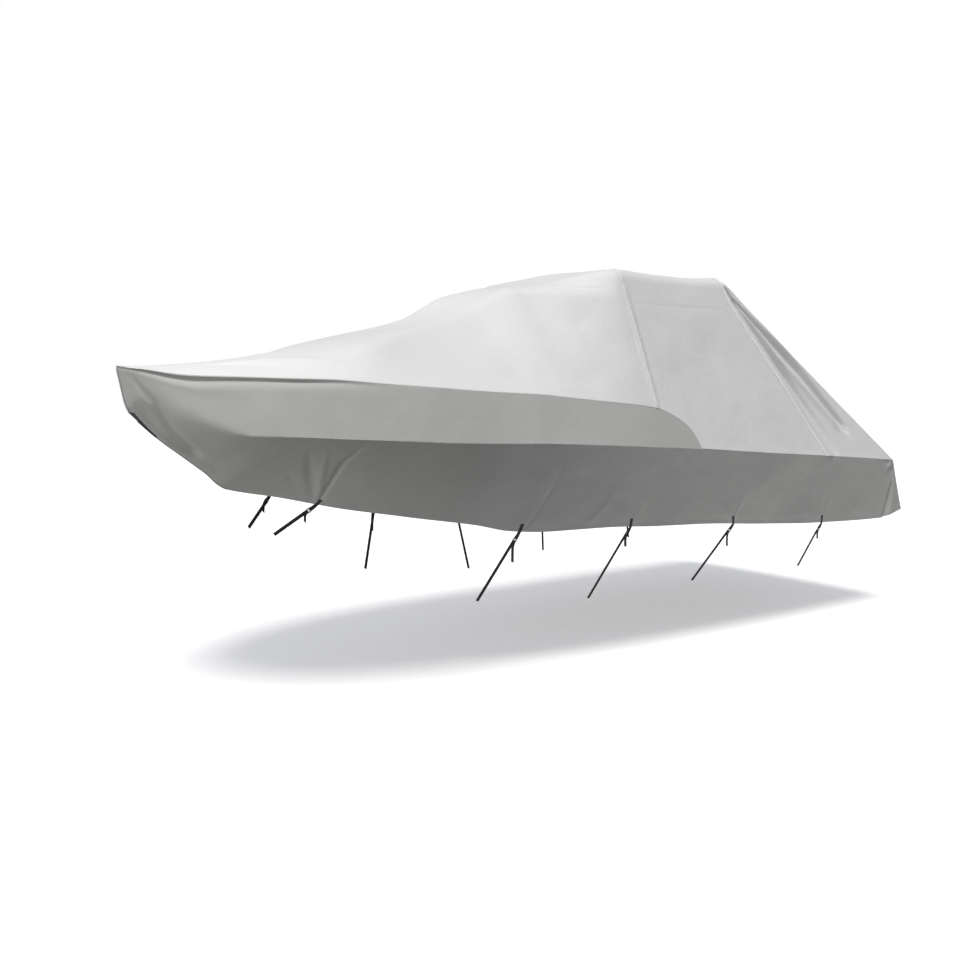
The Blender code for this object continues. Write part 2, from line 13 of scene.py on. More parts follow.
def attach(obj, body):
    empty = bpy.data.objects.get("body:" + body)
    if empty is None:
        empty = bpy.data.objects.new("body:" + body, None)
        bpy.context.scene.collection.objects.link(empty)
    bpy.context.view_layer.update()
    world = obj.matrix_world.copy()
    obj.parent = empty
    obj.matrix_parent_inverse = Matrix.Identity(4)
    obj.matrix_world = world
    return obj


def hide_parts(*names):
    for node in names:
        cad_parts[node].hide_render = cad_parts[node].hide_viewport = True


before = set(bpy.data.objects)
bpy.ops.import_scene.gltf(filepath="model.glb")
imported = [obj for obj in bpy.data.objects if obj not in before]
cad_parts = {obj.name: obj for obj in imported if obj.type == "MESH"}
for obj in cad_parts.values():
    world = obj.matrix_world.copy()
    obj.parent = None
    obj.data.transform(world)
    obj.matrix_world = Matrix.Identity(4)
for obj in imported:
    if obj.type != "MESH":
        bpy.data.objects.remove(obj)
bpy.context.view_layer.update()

# ---------------------------------------------------------------------------------------------
# Side panels, port and starboard. Dark polyester, coated on the inside, in one length from stem
# to stern: a skirt that the straps draw in, a crease along the rail, and a band that leans in to
# the seam under the light top. The lower edge is turned up inside and stitched down.
# ---------------------------------------------------------------------------------------------
ORIGIN = np.array((3.90, 0.0, 2.82))
CELL = 0.018                # the cloth is worked in cells of about this size
SMALL_FOLDS = ("fore slope", "slope foot", "stern")     # and in half of it up to these sections

#  section          hem                    rail                   edge
#                   shoulder               brow                   ridge
SECTIONS = (
    ("nose", (0.056, 0.000, 1.794), (0.030, 0.000, 1.850), (-0.015, 0.000, 2.078),
     (-0.015, 0.000, 2.078), (-0.015, 0.000, 2.078), (-0.015, 0.000, 2.078)),
    ("snout", (0.150, 0.000, 1.700), (0.115, 0.120, 1.872), (0.100, 0.130, 2.058),
     (0.090, 0.080, 2.066), (0.085, 0.040, 2.073), (0.080, 0.000, 2.078)),
    ("prow", (0.300, 0.000, 1.575), (0.300, 0.420, 1.748), (0.300, 0.370, 2.022),
     (0.290, 0.240, 2.055), (0.290, 0.120, 2.080), (0.290, 0.000, 2.088)),
    ("forefoot", (0.500, 0.000, 1.423), (0.530, 0.630, 1.667), (0.520, 0.565, 2.014),
     (0.500, 0.380, 2.062), (0.500, 0.200, 2.095), (0.500, 0.000, 2.106)),
    ("hem start", (0.660, 0.000, 1.298), (0.787, 0.802, 1.658), (0.780, 0.730, 2.003),
     (0.780, 0.500, 2.085), (0.780, 0.250, 2.130), (0.780, 0.000, 2.143)),
    ("fore slope", (0.930, 0.170, 1.243), (1.000, 0.895, 1.645), (1.000, 0.820, 1.994),
     (1.000, 0.580, 2.130), (1.000, 0.300, 2.172), (1.000, 0.000, 2.185)),
    ("slope foot", (1.220, 0.436, 1.177), (1.300, 1.005, 1.630), (1.300, 0.920, 1.968),
     (1.300, 0.620, 2.215), (1.300, 0.330, 2.245), (1.300, 0.000, 2.253)),
    ("first rise", (1.665, 0.726, 1.102), (1.700, 1.100, 1.606), (1.700, 1.000, 1.938),
     (1.680, 0.500, 2.318), (1.680, 0.280, 2.336), (1.680, 0.000, 2.345)),
    ("low roof", (2.000, 0.860, 1.050), (2.050, 1.140, 1.593), (2.050, 1.030, 1.917),
     (2.050, 0.400, 2.412), (2.050, 0.210, 2.426), (2.050, 0.000, 2.450)),
    ("second rise", (2.250, 0.930, 0.995), (2.350, 1.175, 1.585), (2.350, 1.048, 1.903),
     (2.300, 0.380, 2.492), (2.300, 0.190, 2.538), (2.300, 0.000, 2.590)),
    ("step top", (2.550, 1.000, 0.976), (2.700, 1.187, 1.567), (2.700, 1.065, 1.873),
     (2.670, 0.450, 2.658), (2.660, 0.240, 2.668), (2.650, 0.000, 2.676)),
    ("high roof", (2.950, 1.060, 0.975), (3.000, 1.195, 1.550), (3.000, 1.080, 1.846),
     (2.950, 0.620, 2.655), (2.960, 0.400, 2.720), (2.970, 0.000, 2.734)),
    ("front seam", (3.460, 1.113, 0.950), (3.450, 1.200, 1.522), (3.430, 1.110, 1.797),
     (3.370, 0.835, 2.620), (3.380, 0.770, 2.806), (3.380, 0.000, 2.830)),
    ("sweep 1", (3.630, 1.120, 0.943), (3.620, 1.200, 1.512), (3.600, 1.128, 1.735),
     (3.530, 0.835, 2.605), (3.510, 0.765, 2.810), (3.510, 0.000, 2.834)),
    ("sweep 2", (3.780, 1.128, 0.937), (3.750, 1.200, 1.503), (3.740, 1.158, 1.640),
     (3.660, 0.835, 2.603), (3.640, 0.760, 2.803), (3.640, 0.000, 2.830)),
    ("sweep 3", (3.830, 1.130, 0.935), (3.795, 1.200, 1.501), (3.790, 1.181, 1.562),
     (3.720, 0.835, 2.603), (3.700, 0.760, 2.801), (3.700, 0.000, 2.828)),
    ("sweep end", (3.860, 1.131, 0.934), (3.820, 1.200, 1.499), (3.820, 1.200, 1.499),
     (3.760, 0.835, 2.603), (3.740, 0.760, 2.800), (3.740, 0.000, 2.826)),
    ("mid panel", (4.600, 1.150, 0.880), (4.550, 1.200, 1.441), (4.550, 1.200, 1.441),
     (4.150, 0.835, 2.603), (4.120, 0.760, 2.794), (4.120, 0.000, 2.820)),
    ("rear seam", (5.330, 1.155, 0.831), (5.356, 1.196, 1.384), (5.356, 1.196, 1.384),
     (4.530, 0.835, 2.600), (4.465, 0.775, 2.811), (4.450, 0.000, 2.836)),
    ("quarter", (6.250, 1.163, 0.802), (6.130, 1.182, 1.325), (6.130, 1.182, 1.325),
     (4.678, 0.827, 2.600), (4.465, 0.775, 2.811), (4.450, 0.000, 2.836)),
    ("stern", (6.530, 1.165, 0.857), (6.350, 1.180, 1.308), (6.350, 1.180, 1.308),
     (4.720, 0.825, 2.600), (4.465, 0.775, 2.811), (4.450, 0.000, 2.836)),
)
HEM, RAIL, EDGE, SHOULDER, BROW, RIDGE = range(6)

# Folds and creases, y measured out from the centre line. The width is from the middle of the fold
# to where it is mostly gone, and a depth below zero stands out. Steep is the side that drops
# sharply: +1 the aft or lower side, -1 the other. Port and starboard say how much shows there.
#  fold            start                  middle                 end
#                  widths mm      depths mm      steep  port  starboard
FOLDS = (
    ("bow valley", (0.046, 0.062, 2.020), (0.140, 0.165, 1.850), (0.400, 0.130, 1.560),
     (14, 32, 50), (3, 24, 26), 0, 1.0, 0.8),
    ("bow ridge", (0.066, 0.022, 1.830), (0.169, 0.034, 1.716), (0.520, 0.070, 1.440),
     (20, 26, 34), (-6, -22, -12), 0, 1.0, 0.6),
    ("stem tuck", (0.315, 0.257, 1.682), (0.390, 0.220, 1.600), (0.455, 0.189, 1.535),
     (14, 16, 18), (-1, -5, -1), 0, 1.0, 0.0),
    ("swell under the groove", (0.110, 0.140, 2.025), (0.313, 0.396, 1.945), (0.560, 0.600, 1.922),
     (16, 26, 40), (-2, -7, -2), 0, 1.0, 1.0),
    ("fore panel fold", (0.440, 0.190, 2.088), (0.760, 0.430, 2.094), (1.080, 0.672, 2.101),
     (26, 44, 34), (-4, -30, -6), 1, 1.0, 0.7),
    ("roof edge", (2.580, 0.390, 2.640), (2.917, 0.531, 2.676), (3.224, 0.770, 2.650),
     (12, 16, 16), (2, 11, 2), -1, 1.0, 1.0),
    ("mid panel edge", (3.480, 0.851, 2.560), (3.940, 0.849, 2.552), (4.420, 0.847, 2.560),
     (18, 30, 18), (1, 2, 1), -1, 1.0, 1.0),
    ("front seam ridge", (3.372, 0.828, 2.660), (3.400, 0.972, 2.210), (3.428, 1.100, 1.820),
     (20, 28, 24), (-4, -16, -8), 1, 1.0, 1.0),
    ("fall behind the front seam", (3.425, 0.825, 2.660), (3.455, 0.965, 2.210), (3.478, 1.095, 1.830),
     (20, 32, 20), (2, 5, 2), 0, 1.0, 1.0),
    ("rear seam swell", (4.585, 0.842, 2.560), (4.997, 1.012, 1.985), (5.412, 1.190, 1.400),
     (14, 40, 26), (-4, -22, -7), -1, 1.0, 1.0),
    ("gusset valley 1", (4.520, 0.790, 2.728), (4.860, 0.915, 2.290), (5.483, 1.158, 1.461),
     (16, 46, 70), (20, 36, 14), -1, 1.0, 0.8),
    ("gusset ridge 1", (4.640, 0.830, 2.600), (5.000, 0.955, 2.160), (5.579, 1.114, 1.665),
     (14, 28, 48), (-4, -24, -22), -1, 1.0, 1.1),
    ("gusset valley 2", (4.600, 0.820, 2.640), (5.250, 0.950, 2.110), (5.730, 1.110, 1.620),
     (20, 66, 46), (16, 50, 32), -1, 1.0, 1.2),
    ("skirt pull 1a", (0.894, 0.710, 1.576), (0.979, 0.539, 1.441), (1.080, 0.367, 1.249),
     (18, 30, 22), (1, 12, 7), 0, 1.0, 0.5),
    ("skirt pull 1b", (0.985, 0.742, 1.560), (1.049, 0.556, 1.413), (1.106, 0.398, 1.254),
     (16, 24, 14), (-2, -9, -5), 1, 1.0, 1.0),
    ("skirt pull 1c", (1.159, 0.903, 1.598), (1.120, 0.727, 1.490), (1.123, 0.400, 1.235),
     (16, 24, 14), (1, 13, 10), -1, 1.0, 0.8),
    ("skirt pinch", (0.885, 0.428, 1.422), (0.930, 0.376, 1.369), (0.970, 0.340, 1.320),
     (16, 20, 16), (1, 6, 2), 0, 1.0, 0.0),
    ("skirt streak 2", (2.551, 1.174, 1.550), (2.480, 1.080, 1.280), (2.350, 0.965, 1.020),
     (14, 16, 12), (-1, -3, -2), 1, 1.0, 0.7),
    ("skirt pull 3", (3.027, 1.139, 1.296), (2.957, 1.096, 1.130), (2.822, 1.061, 1.010),
     (18, 26, 20), (0, 2, 2), 0, 1.0, 1.0),
    ("skirt pull 3b", (3.380, 1.170, 1.330), (3.290, 1.120, 1.150), (3.210, 1.095, 0.990),
     (18, 22, 14), (0, 1, 2), 0, 0.8, 1.0),
    ("skirt pull 4", (4.400, 1.175, 1.200), (4.320, 1.160, 1.060), (4.255, 1.150, 0.930),
     (16, 20, 14), (0, 2, 3), 0, 1.0, 0.8),
    ("skirt pull 4b", (4.020, 1.170, 1.150), (4.140, 1.160, 1.020), (4.240, 1.150, 0.930),
     (14, 18, 12), (0, 2, 3), 0, 1.0, 1.0),
    ("skirt pleat 5", (5.370, 1.186, 1.290), (5.388, 1.178, 1.120), (5.365, 1.160, 0.880),
     (8, 10, 14), (-1, -5, -2), 1, 1.0, 1.0),
    ("skirt pull 5", (5.310, 1.180, 1.130), (5.325, 1.170, 1.000), (5.355, 1.158, 0.870),
     (12, 16, 12), (0, 3, 3), 0, 1.0, 1.0),
    ("stern fold", (6.372, 1.178, 1.150), (6.338, 1.172, 0.978), (6.296, 1.166, 0.811),
     (10, 28, 36), (4, 26, 26), 0, 1.0, 1.0),
    ("stern tuck", (6.332, 1.180, 1.290), (6.290, 1.180, 1.256), (6.245, 1.180, 1.210),
     (10, 15, 12), (-2, -8, -2), 0, 1.0, 1.0),
    ("stern tuck valley", (6.190, 1.182, 1.300), (6.260, 1.181, 1.288), (6.322, 1.180, 1.290),
     (8, 12, 8), (1, 6, 3), 0, 1.0, 1.0),
    ("stern edge", (6.338, 1.180, 1.270), (6.352, 1.180, 1.200), (6.366, 1.178, 1.140),
     (10, 18, 12), (2, 14, 5), 0, 1.0, 1.0),
)

# Soft hollows and swells where the cloth is slack: middle, radius, depth (below zero swells out),
# and how much shows on each side.
#  middle                  radius  depth mm  port  starboard
HOLLOWS = (
    ((3.03, 0.780, 2.430), 0.11, 9, 1.0, 0.6),
    ((2.24, 0.660, 2.350), 0.13, 9, 1.0, 0.8),
    ((2.20, 0.300, 2.490), 0.17, 16, 0.0, 1.0),
    ((2.34, 0.930, 2.045), 0.12, 9, 1.0, 0.5),
    ((2.52, 0.950, 2.025), 0.10, 7, 1.0, 0.9),
    ((2.43, 0.940, 2.060), 0.07, -5, 1.0, 0.4),
    ((2.90, 0.985, 2.000), 0.09, 8, 1.0, 1.0),
    ((3.18, 0.900, 2.250), 0.13, 7, 0.8, 1.0),
    ((4.16, 0.957, 2.215), 0.16, 9, 1.0, 0.7),
    ((3.65, 0.963, 2.220), 0.14, -7, 1.0, 1.0),
    ((4.62, 1.080, 1.860), 0.22, -8, 0.9, 1.0),
    ((3.05, 0.300, 2.730), 0.20, 10, 1.0, 1.0),
    ((1.85, 0.300, 2.380), 0.24, 10, 1.0, 0.7),
    ((1.10, 0.350, 2.180), 0.22, 9, 0.8, 1.0),
    ((3.90, 0.380, 2.815), 0.26, 8, 1.0, 1.0),
    ((4.90, 0.350, 2.480), 0.30, -10, 1.0, 0.6),
    ((5.60, 0.600, 1.900), 0.34, 12, 0.8, 1.0),
    ((0.81, 0.768, 1.874), 0.14, 4, 1.0, 1.0),
    ((0.62, 0.680, 1.760), 0.17, -12, 1.0, 0.8),
    ((1.48, 1.010, 1.781), 0.16, -6, 1.0, 0.6),
    ((2.50, 1.131, 1.702), 0.18, 6, 0.8, 1.0),
    ((5.05, 1.185, 1.150), 0.20, -8, 1.0, 0.8),
    ((4.60, 1.170, 1.180), 0.18, 6, 1.0, 1.0),
    ((2.05, 1.000, 1.330), 0.18, 7, 0.8, 1.0),
)

# Just under the front of the seam the cloth falls in, and the light cloth's edge stands over it.
#  rail x   furrow depth mm   width mm
FURROW = ((0.03, 3, 7), (0.08, 11, 7), (0.12, 20, 10), (0.20, 32, 16), (0.30, 36, 20), (0.42, 30, 18),
          (0.60, 25, 17), (0.82, 24, 16), (1.04, 13, 16), (1.20, 5, 16), (1.36, 0, 16))

# How softly the cloth bends along the rail near the bow, and along the seam.
#  seam x   softness mm
RAIL_BEND = ((0.03, 20), (0.11, 55), (0.20, 70), (0.32, 60), (0.44, 30), (0.56, 0))
SEAM_BEND = ((0.03, 2), (0.11, 5), (0.20, 11), (0.40, 15), (0.80, 13), (1.30, 9), (1.70, 6), (2.20, 0))

SKIRT_CREEP = (0.0012, 0.005, 0.018, 0.029, 0.036)   # rows close above the lower edge
CREASE_CREEP = (0.004, 0.012)                       # rows close to the crease along the rail
GROOVE_CREEP = (0.004, 0.010, 0.016, 0.023, 0.031, 0.042)   # rows close under the light cloth
TOP_CREEP = (0.004, 0.012, 0.022)                   # rows close above the seam
SKIRT_ROWS, BAND_ROWS, WALL_ROWS, FALL_ROWS, ROOF_ROWS = 24, 12, 32, 8, 18      # even rows, from the hem up
SHOULDER_ROWS, BROW_ROWS = 18, 8                    # rows round the two soft bends
LAP_ROWS = 2                # the dark cloth runs on under the light cloth for these rows
BEND_SHARE = 0.38           # how much of its shorter leg a soft bend takes up
SLACK, CRUMPLE = 0.0042, 0.0014     # most that free cloth waves and crumples
STEEP_WIDTH = 0.45          # width of a fold's steep side, as a share of the other's
OFF_THE_CLOTH = 0.15        # how much a distance off the cloth's face counts in a fold
TRANSOM_BOW, TRANSOM_CROWN = 0.050, 0.020   # how far the transom's middle stands out, and its top up
REAR_SAG = 0.030            # sag of the rear panel between the roof and the transom


def slopes_along(at, values):
    """Slopes of a smooth line through the sections that never swings past them."""
    steps = np.diff(at)
    rises = np.diff(values, axis=0) / steps[:, None]
    slopes = np.zeros_like(values)
    slopes[0], slopes[-1] = rises[0], rises[-1]
    for i in range(1, len(at) - 1):
        before, after = rises[i - 1], rises[i]
        near, far = 2 * steps[i] + steps[i - 1], steps[i] + 2 * steps[i - 1]
        same = before * after > 0
        mean = (near + far) / (near / np.where(same, before, 1) + far / np.where(same, after, 1))
        slopes[i] = np.where(same, mean, 0)
    return slopes


def run_along(places):
    """How far along a line each of its points is."""
    return np.concatenate(([0], np.cumsum(np.linalg.norm(np.diff(places, axis=0), axis=1))))


def run_up(grid):
    """How far up its own column each point of a grid is."""
    rise = np.linalg.norm(np.diff(grid, axis=1), axis=2)
    return np.concatenate((np.zeros((len(grid), 1)), np.cumsum(rise, axis=1)), axis=1)


def cover_lines():
    """The six lines at every station, a cell apart along the rail, and each section's station number."""
    values = np.array([row[1:] for row in SECTIONS], float).reshape(len(SECTIONS), -1)
    at = run_along(values[:, 3:6])
    slopes = slopes_along(at, values)
    stations, number = [values[0]], {SECTIONS[0][0]: 0}
    for i in range(1, len(SECTIONS)):
        length = at[i] - at[i - 1]
        cell = CELL / 2 if SECTIONS[i][0] in SMALL_FOLDS else CELL
        steps = max(3, math.ceil(length / cell))
        for t in np.arange(1, steps + 1) / steps:
            leave = (1 + 2 * t) * (1 - t) ** 2 * values[i - 1] + t * (1 - t) ** 2 * length * slopes[i - 1]
            arrive = t * t * (3 - 2 * t) * values[i] + t * t * (t - 1) * length * slopes[i]
            stations.append(leave + arrive)
        number[SECTIONS[i][0]] = len(stations) - 1
    lines = np.array(stations).reshape(len(stations), 6, 3)
    lines[number["sweep end"]:, EDGE] = lines[number["sweep end"]:, RAIL]
    return lines, number


def leg(start, end, low, high, count):
    """Rows from start to end of each station: close rows at both ends, even ones between."""
    length = np.linalg.norm(end - start, axis=1)
    squeeze = np.minimum(1, length / (5 * max((*low, *high, 0.001))))
    first = low[-1] * squeeze if low else 0 * length
    last = length - (high[-1] * squeeze if high else 0)
    at = [near * squeeze for near in low]
    at += [first + (last - first) * k / count for k in range(1, count)]
    at += [length - near * squeeze for near in reversed(high)] + [length]
    way = (end - start) / np.maximum(length, 1e-9)[:, None]
    return [start + way * d[:, None] for d in at]


def soft_bend(before, corner, after, reach, count):
    """Rows round a soft corner, from one leg to the other."""
    ends = []
    for leg_end in (before, after):
        length = np.maximum(np.linalg.norm(leg_end - corner, axis=1), 1e-6)
        ends.append(corner + (leg_end - corner) * (reach / length)[:, None])
    start, end = ends
    shares = [k / count for k in range(count + 1)]
    return [(1 - t) ** 2 * start + 2 * t * (1 - t) * corner + t * t * end for t in shares]


def soften(section, spread):
    """Rounds off one section's rows, each by its own spread."""
    at = run_along(section)
    fine = np.linspace(0, at[-1], 480)
    close = np.stack([np.interp(fine, at, section[:, k]) for k in range(3)], axis=1)
    spread = np.minimum(spread(at), 0.45 * np.minimum(at, at[-1] - at)) + 1e-5
    weight = np.exp(-0.5 * ((fine[None, :] - at[:, None]) / spread[:, None]) ** 2)
    smooth = weight @ close / weight.sum(axis=1)[:, None]
    inner = spread > 0.004
    section[inner] = smooth[inner]


def shape_bow(half, edge):
    """Softens the bends along the rail and the seam towards the bow."""
    for section in half:
        rail_soft, seam_soft = (np.interp(section[edge, 0], *zip(*table)) / 1000
                                for table in (RAIL_BEND, SEAM_BEND))
        if rail_soft > 0:
            soften(section[:edge + 1], lambda at: np.full(len(at), rail_soft))
        if seam_soft > 0:
            soften(section, lambda at: seam_soft * np.exp(-((at - at[edge]) / (2.5 * seam_soft)) ** 2))
    return half


def lay_side(lines):
    """One side's cloth: an array (stations, rows, xyz), and the row numbers of its lines."""
    line = [lines[:, k] for k in range(6)]
    legs = [np.linalg.norm(line[k + 1] - line[k], axis=1) for k in (EDGE, SHOULDER, BROW)]
    reach = [BEND_SHARE * np.minimum(legs[k], legs[k + 1]) for k in (0, 1)]
    low = soft_bend(line[EDGE], line[SHOULDER], line[BROW], reach[0], SHOULDER_ROWS)
    high = soft_bend(line[SHOULDER], line[BROW], line[RIDGE], reach[1], BROW_ROWS)
    rows, row = [line[HEM]], {}
    rows += leg(line[HEM], line[RAIL], SKIRT_CREEP, CREASE_CREEP, SKIRT_ROWS)
    row["rail"] = len(rows) - 1
    rows += leg(line[RAIL], line[EDGE], CREASE_CREEP, GROOVE_CREEP, BAND_ROWS)
    row["edge"] = len(rows) - 1
    rows += leg(line[EDGE], low[0], TOP_CREEP, (), WALL_ROWS)
    rows += low[1:]
    rows += leg(low[-1], high[0], (), (), FALL_ROWS)
    row["corner"] = len(rows) - 1 + BROW_ROWS // 2
    rows += high[1:]
    rows += leg(high[-1], line[RIDGE], (), (), ROOF_ROWS)
    return shape_bow(np.stack(rows, axis=1), row["edge"]), row


def sheet_between(low, high, left, right, sag):
    """Cloth between four edges: rows run from low to high, columns from left to right."""
    rise = np.linalg.norm(left - left[0], axis=1) / np.linalg.norm(left[-1] - left[0])
    across = np.linspace(0, 1, len(low))
    rise, across = rise[:, None, None], across[None, :, None]
    sheet = (1 - rise) * low[None] + rise * high[None]
    sheet = sheet + (1 - across) * (left[:, None] - ((1 - rise) * low[0] + rise * high[0]))
    sheet = sheet + across * (right[:, None] - ((1 - rise) * low[-1] + rise * high[-1]))
    sheet[:, :, 2] -= sag * (np.sin(np.pi * rise) * np.sin(np.pi * across))[:, :, 0]
    return sheet


def even_slack(points):
    """The slight unevenness of cloth that hangs free between what it rests on."""
    wide = [noise.noise((p[0] * 1.9, p[1] * 1.9 + 7.3, p[2] * 2.3)) for p in points]
    fine = [noise.noise((p[0] * 6.1 + 3.1, p[1] * 6.1, p[2] * 7.0)) for p in points]
    return SLACK * np.array(wide) + CRUMPLE * np.array(fine)


def fold_depths(points, normals):
    """How far the folds, hollows and slack draw each point in."""
    depth = even_slack(points)
    table = points + ORIGIN
    sides = np.where(table[:, 1] < 0, 1, 0)
    table[:, 1] = np.abs(table[:, 1])
    facing = normals * np.array((1, -1, 1)) ** sides[:, None]
    for _, start, middle, end, widths, depths, steep, port, starboard in FOLDS:
        path = np.array((start, middle, end))
        runs = np.diff(path, axis=0)
        lengths = np.linalg.norm(runs, axis=1)
        best = np.full(len(table), np.inf)
        share, signed = np.zeros(len(table)), np.zeros(len(table))
        for k in (0, 1):
            t = np.clip((table - path[k]) @ runs[k] / lengths[k] ** 2, 0, 1)
            off = table - path[k] - t[:, None] * runs[k]
            lift = (off * facing).sum(axis=1)
            off -= (1 - OFF_THE_CLOTH) * lift[:, None] * facing
            far = np.linalg.norm(off, axis=1)
            side = np.sign((np.cross(facing, runs[k]) * off).sum(axis=1))
            nearer = far < best
            best[nearer], signed[nearer] = far[nearer], side[nearer]
            share[nearer] = ((t * lengths[k] + k * lengths[0]) / lengths.sum())[nearer]
        width = np.interp(share, (0, 0.5, 1), widths) / 1000
        width = np.where(signed * steep > 0, width * STEEP_WIDTH, width)
        strength = np.interp(share, (0, 0.5, 1), depths) / 1000 * np.where(sides, port, starboard)
        depth += strength * np.exp(-(best / width) ** 2)
    for middle, radius, deep, port, starboard in HOLLOWS:
        far = np.linalg.norm(table - middle, axis=1)
        depth += deep / 1000 * np.where(sides, port, starboard) * np.exp(-(far / radius) ** 2)
    return depth


def normals_at(points, faces):
    """Outward normals at the points: each face counts by its angle there."""
    total = np.zeros_like(points)
    for k in range(3):
        own, after, before = (points[faces[:, (k + turn) % 3]] for turn in range(3))
        ahead, back = after - own, before - own
        across = np.cross(ahead, back)
        size = np.linalg.norm(across, axis=1)
        angle = np.arctan2(size, (ahead * back).sum(axis=1))
        weighted = across * (angle / np.maximum(size, 1e-15))[:, None]
        for axis in range(3):
            total[:, axis] += np.bincount(faces[:, k], weighted[:, axis], len(points))
    return total / np.maximum(np.linalg.norm(total, axis=1), 1e-12)[:, None]


def cells(numbers, flip):
    """The cells of a grid of point numbers, as triangles, without those that pinch out."""
    a, b = numbers[:-1, :-1].ravel(), numbers[1:, :-1].ravel()
    c, d = numbers[1:, 1:].ravel(), numbers[:-1, 1:].ravel()
    faces = np.concatenate((np.stack((a, b, c), 1), np.stack((a, c, d), 1)))
    faces = faces[(faces[:, 0] != faces[:, 1]) & (faces[:, 1] != faces[:, 2]) & (faces[:, 2] != faces[:, 0])]
    return faces[:, ::-1] if flip else faces


lines, station = cover_lines()
half, row = lay_side(lines)
half[station["rear seam"]:, row["corner"]:] = half[station["rear seam"], row["corner"]:]
grids = {}
for side, sign in (("port", -1), ("starboard", 1)):
    grids[side] = half * (1, sign, 1) - ORIGIN
port_end, starboard_end = grids["port"][-1], grids["starboard"][-1]
roof_line = np.concatenate((port_end[row["corner"]:], starboard_end[row["corner"]:-1][::-1]))
spread = roof_line[:, 1] / abs(roof_line[0, 1])
crown = 1 - spread ** 2
transom_top = np.tile(port_end[row["rail"]], (len(roof_line), 1))
transom_hem = np.tile(port_end[0], (len(roof_line), 1))
for line in (transom_top, transom_hem):
    line[:, 1] *= -spread
    line[:, 0] += TRANSOM_BOW * crown
transom_top[:, 2] += TRANSOM_CROWN * crown
gusset, skirt = slice(row["edge"], row["corner"] + 1), slice(0, row["rail"] + 1)
grids["rear"] = sheet_between(transom_top, roof_line, port_end[gusset], starboard_end[gusset], REAR_SAG)
grids["transom"] = sheet_between(transom_hem, transom_top, port_end[skirt], starboard_end[skirt], 0)

every = np.concatenate([grid.reshape(-1, 3) for grid in grids.values()])
_, first, shared = np.unique(np.round(every, 5), axis=0, return_index=True, return_inverse=True)
points = every[first]
numbers, used = {}, 0
for name, grid in grids.items():
    numbers[name] = shared.ravel()[used:used + grid.shape[0] * grid.shape[1]].reshape(grid.shape[:2])
    used += grid.shape[0] * grid.shape[1]
flips = {"port": False, "starboard": True, "rear": True, "transom": True}
all_faces = np.concatenate([cells(numbers[name], flips[name]) for name in grids])
normals = normals_at(points, all_faces)
depth = fold_depths(points, normals)
up_from_seam = run_up(half)
up_from_seam -= up_from_seam[:, [row["edge"]]]
furrow_x, *furrow_sizes = np.array(FURROW, float).T
fall, width = (np.interp(half[:, row["rail"], 0], furrow_x, size / 1000)[:, None] for size in furrow_sizes)
# The furrow is deepest 0.9 of its width under the seam, and steeper above that than below.
below = -up_from_seam - 0.9 * width
furrow = fall * np.exp(-(below / np.where(below < 0, 0.8 * width, 1.4 * width)) ** 2)
for side in ("port", "starboard"):
    depth[numbers[side]] += furrow
points = points - normals * depth[:, None]
normals = normals_at(points, all_faces)


def grow(new_points, new_normals):
    """Adds points to the cover's own, and gives back their numbers."""
    global points, normals
    points = np.concatenate((points, new_points))
    normals = np.concatenate((normals, new_normals / np.linalg.norm(new_normals, axis=1)[:, None]))
    return np.arange(len(points) - len(new_points), len(points))


CLOTH = 0.0010              # thickness of the cloth
HEM_PLY = 0.0024            # space between the cloth and its turned-up edge
HEM_LIFTS = (-0.0002, 0.0010, 0.0010, 0.0010, 0.0010, 0.0009)   # how far its rows stand out, lowest first
STITCH, DASH = 0.0045, 0.62     # from stitch to stitch, and the share of it that is thread
THREAD = 0.0006             # half the thread's width
YARN = 0.0012               # from yarn to yarn
STEM_SHADE_SPAN = (0.050, 0.215, 1.796)      # the painted shade at the stem's knuckle: from x to x, below z
PAINTED_LIGHT_SPAN = {"From Min": -2.5, "From Max": -3.5}     # the painted light towards the bow: where it starts and where it is complete, in x


def cloth_piece(name, patches, lift, material):
    """A panel cut from the cover's surface. Each patch is a grid of point numbers, whether it is
    turned over, and the axis that runs along its seams; its rows run up from its lower edge."""
    cut = np.zeros((len(points), 3))
    for grid, _, axis in patches:
        cut[grid, 0], cut[grid, 1] = points[grid, axis], run_up(points[grid])
    faces = np.concatenate([cells(grid, flip) for grid, flip, _ in patches])
    used, local = np.unique(faces, return_inverse=True)
    placed = points[used] + normals[used] * lift[used][:, None]
    mesh = bpy.data.meshes.new(name)
    mesh.from_pydata(placed.tolist(), [], local.reshape(-1, 3).tolist())
    mesh.attributes.new("cut", "FLOAT_VECTOR", "POINT").data.foreach_set("vector", cut[used].ravel())
    piece = shown(name, mesh, material)
    ply = piece.modifiers.new("thickness", "SOLIDIFY")
    ply.thickness, ply.offset = CLOTH, -1
    return piece


def shown(name, mesh, material):
    """The mesh as a smooth piece that rides on the cover."""
    mesh.shade_smooth()
    mesh.set_sharp_from_angle(angle=math.radians(50))
    mesh.materials.append(material)
    piece = bpy.data.objects.new(name, mesh)
    bpy.context.scene.collection.objects.link(piece)
    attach(piece, "root")
    return piece


def new_finish(name, values):
    """A material and its shader, with these values on the shader."""
    material = bpy.data.materials.new(name)
    material.use_nodes = True
    shader = material.node_tree.nodes["Principled BSDF"]
    for socket, value in values.items():
        shader.inputs[socket].default_value = value
    return material, shader


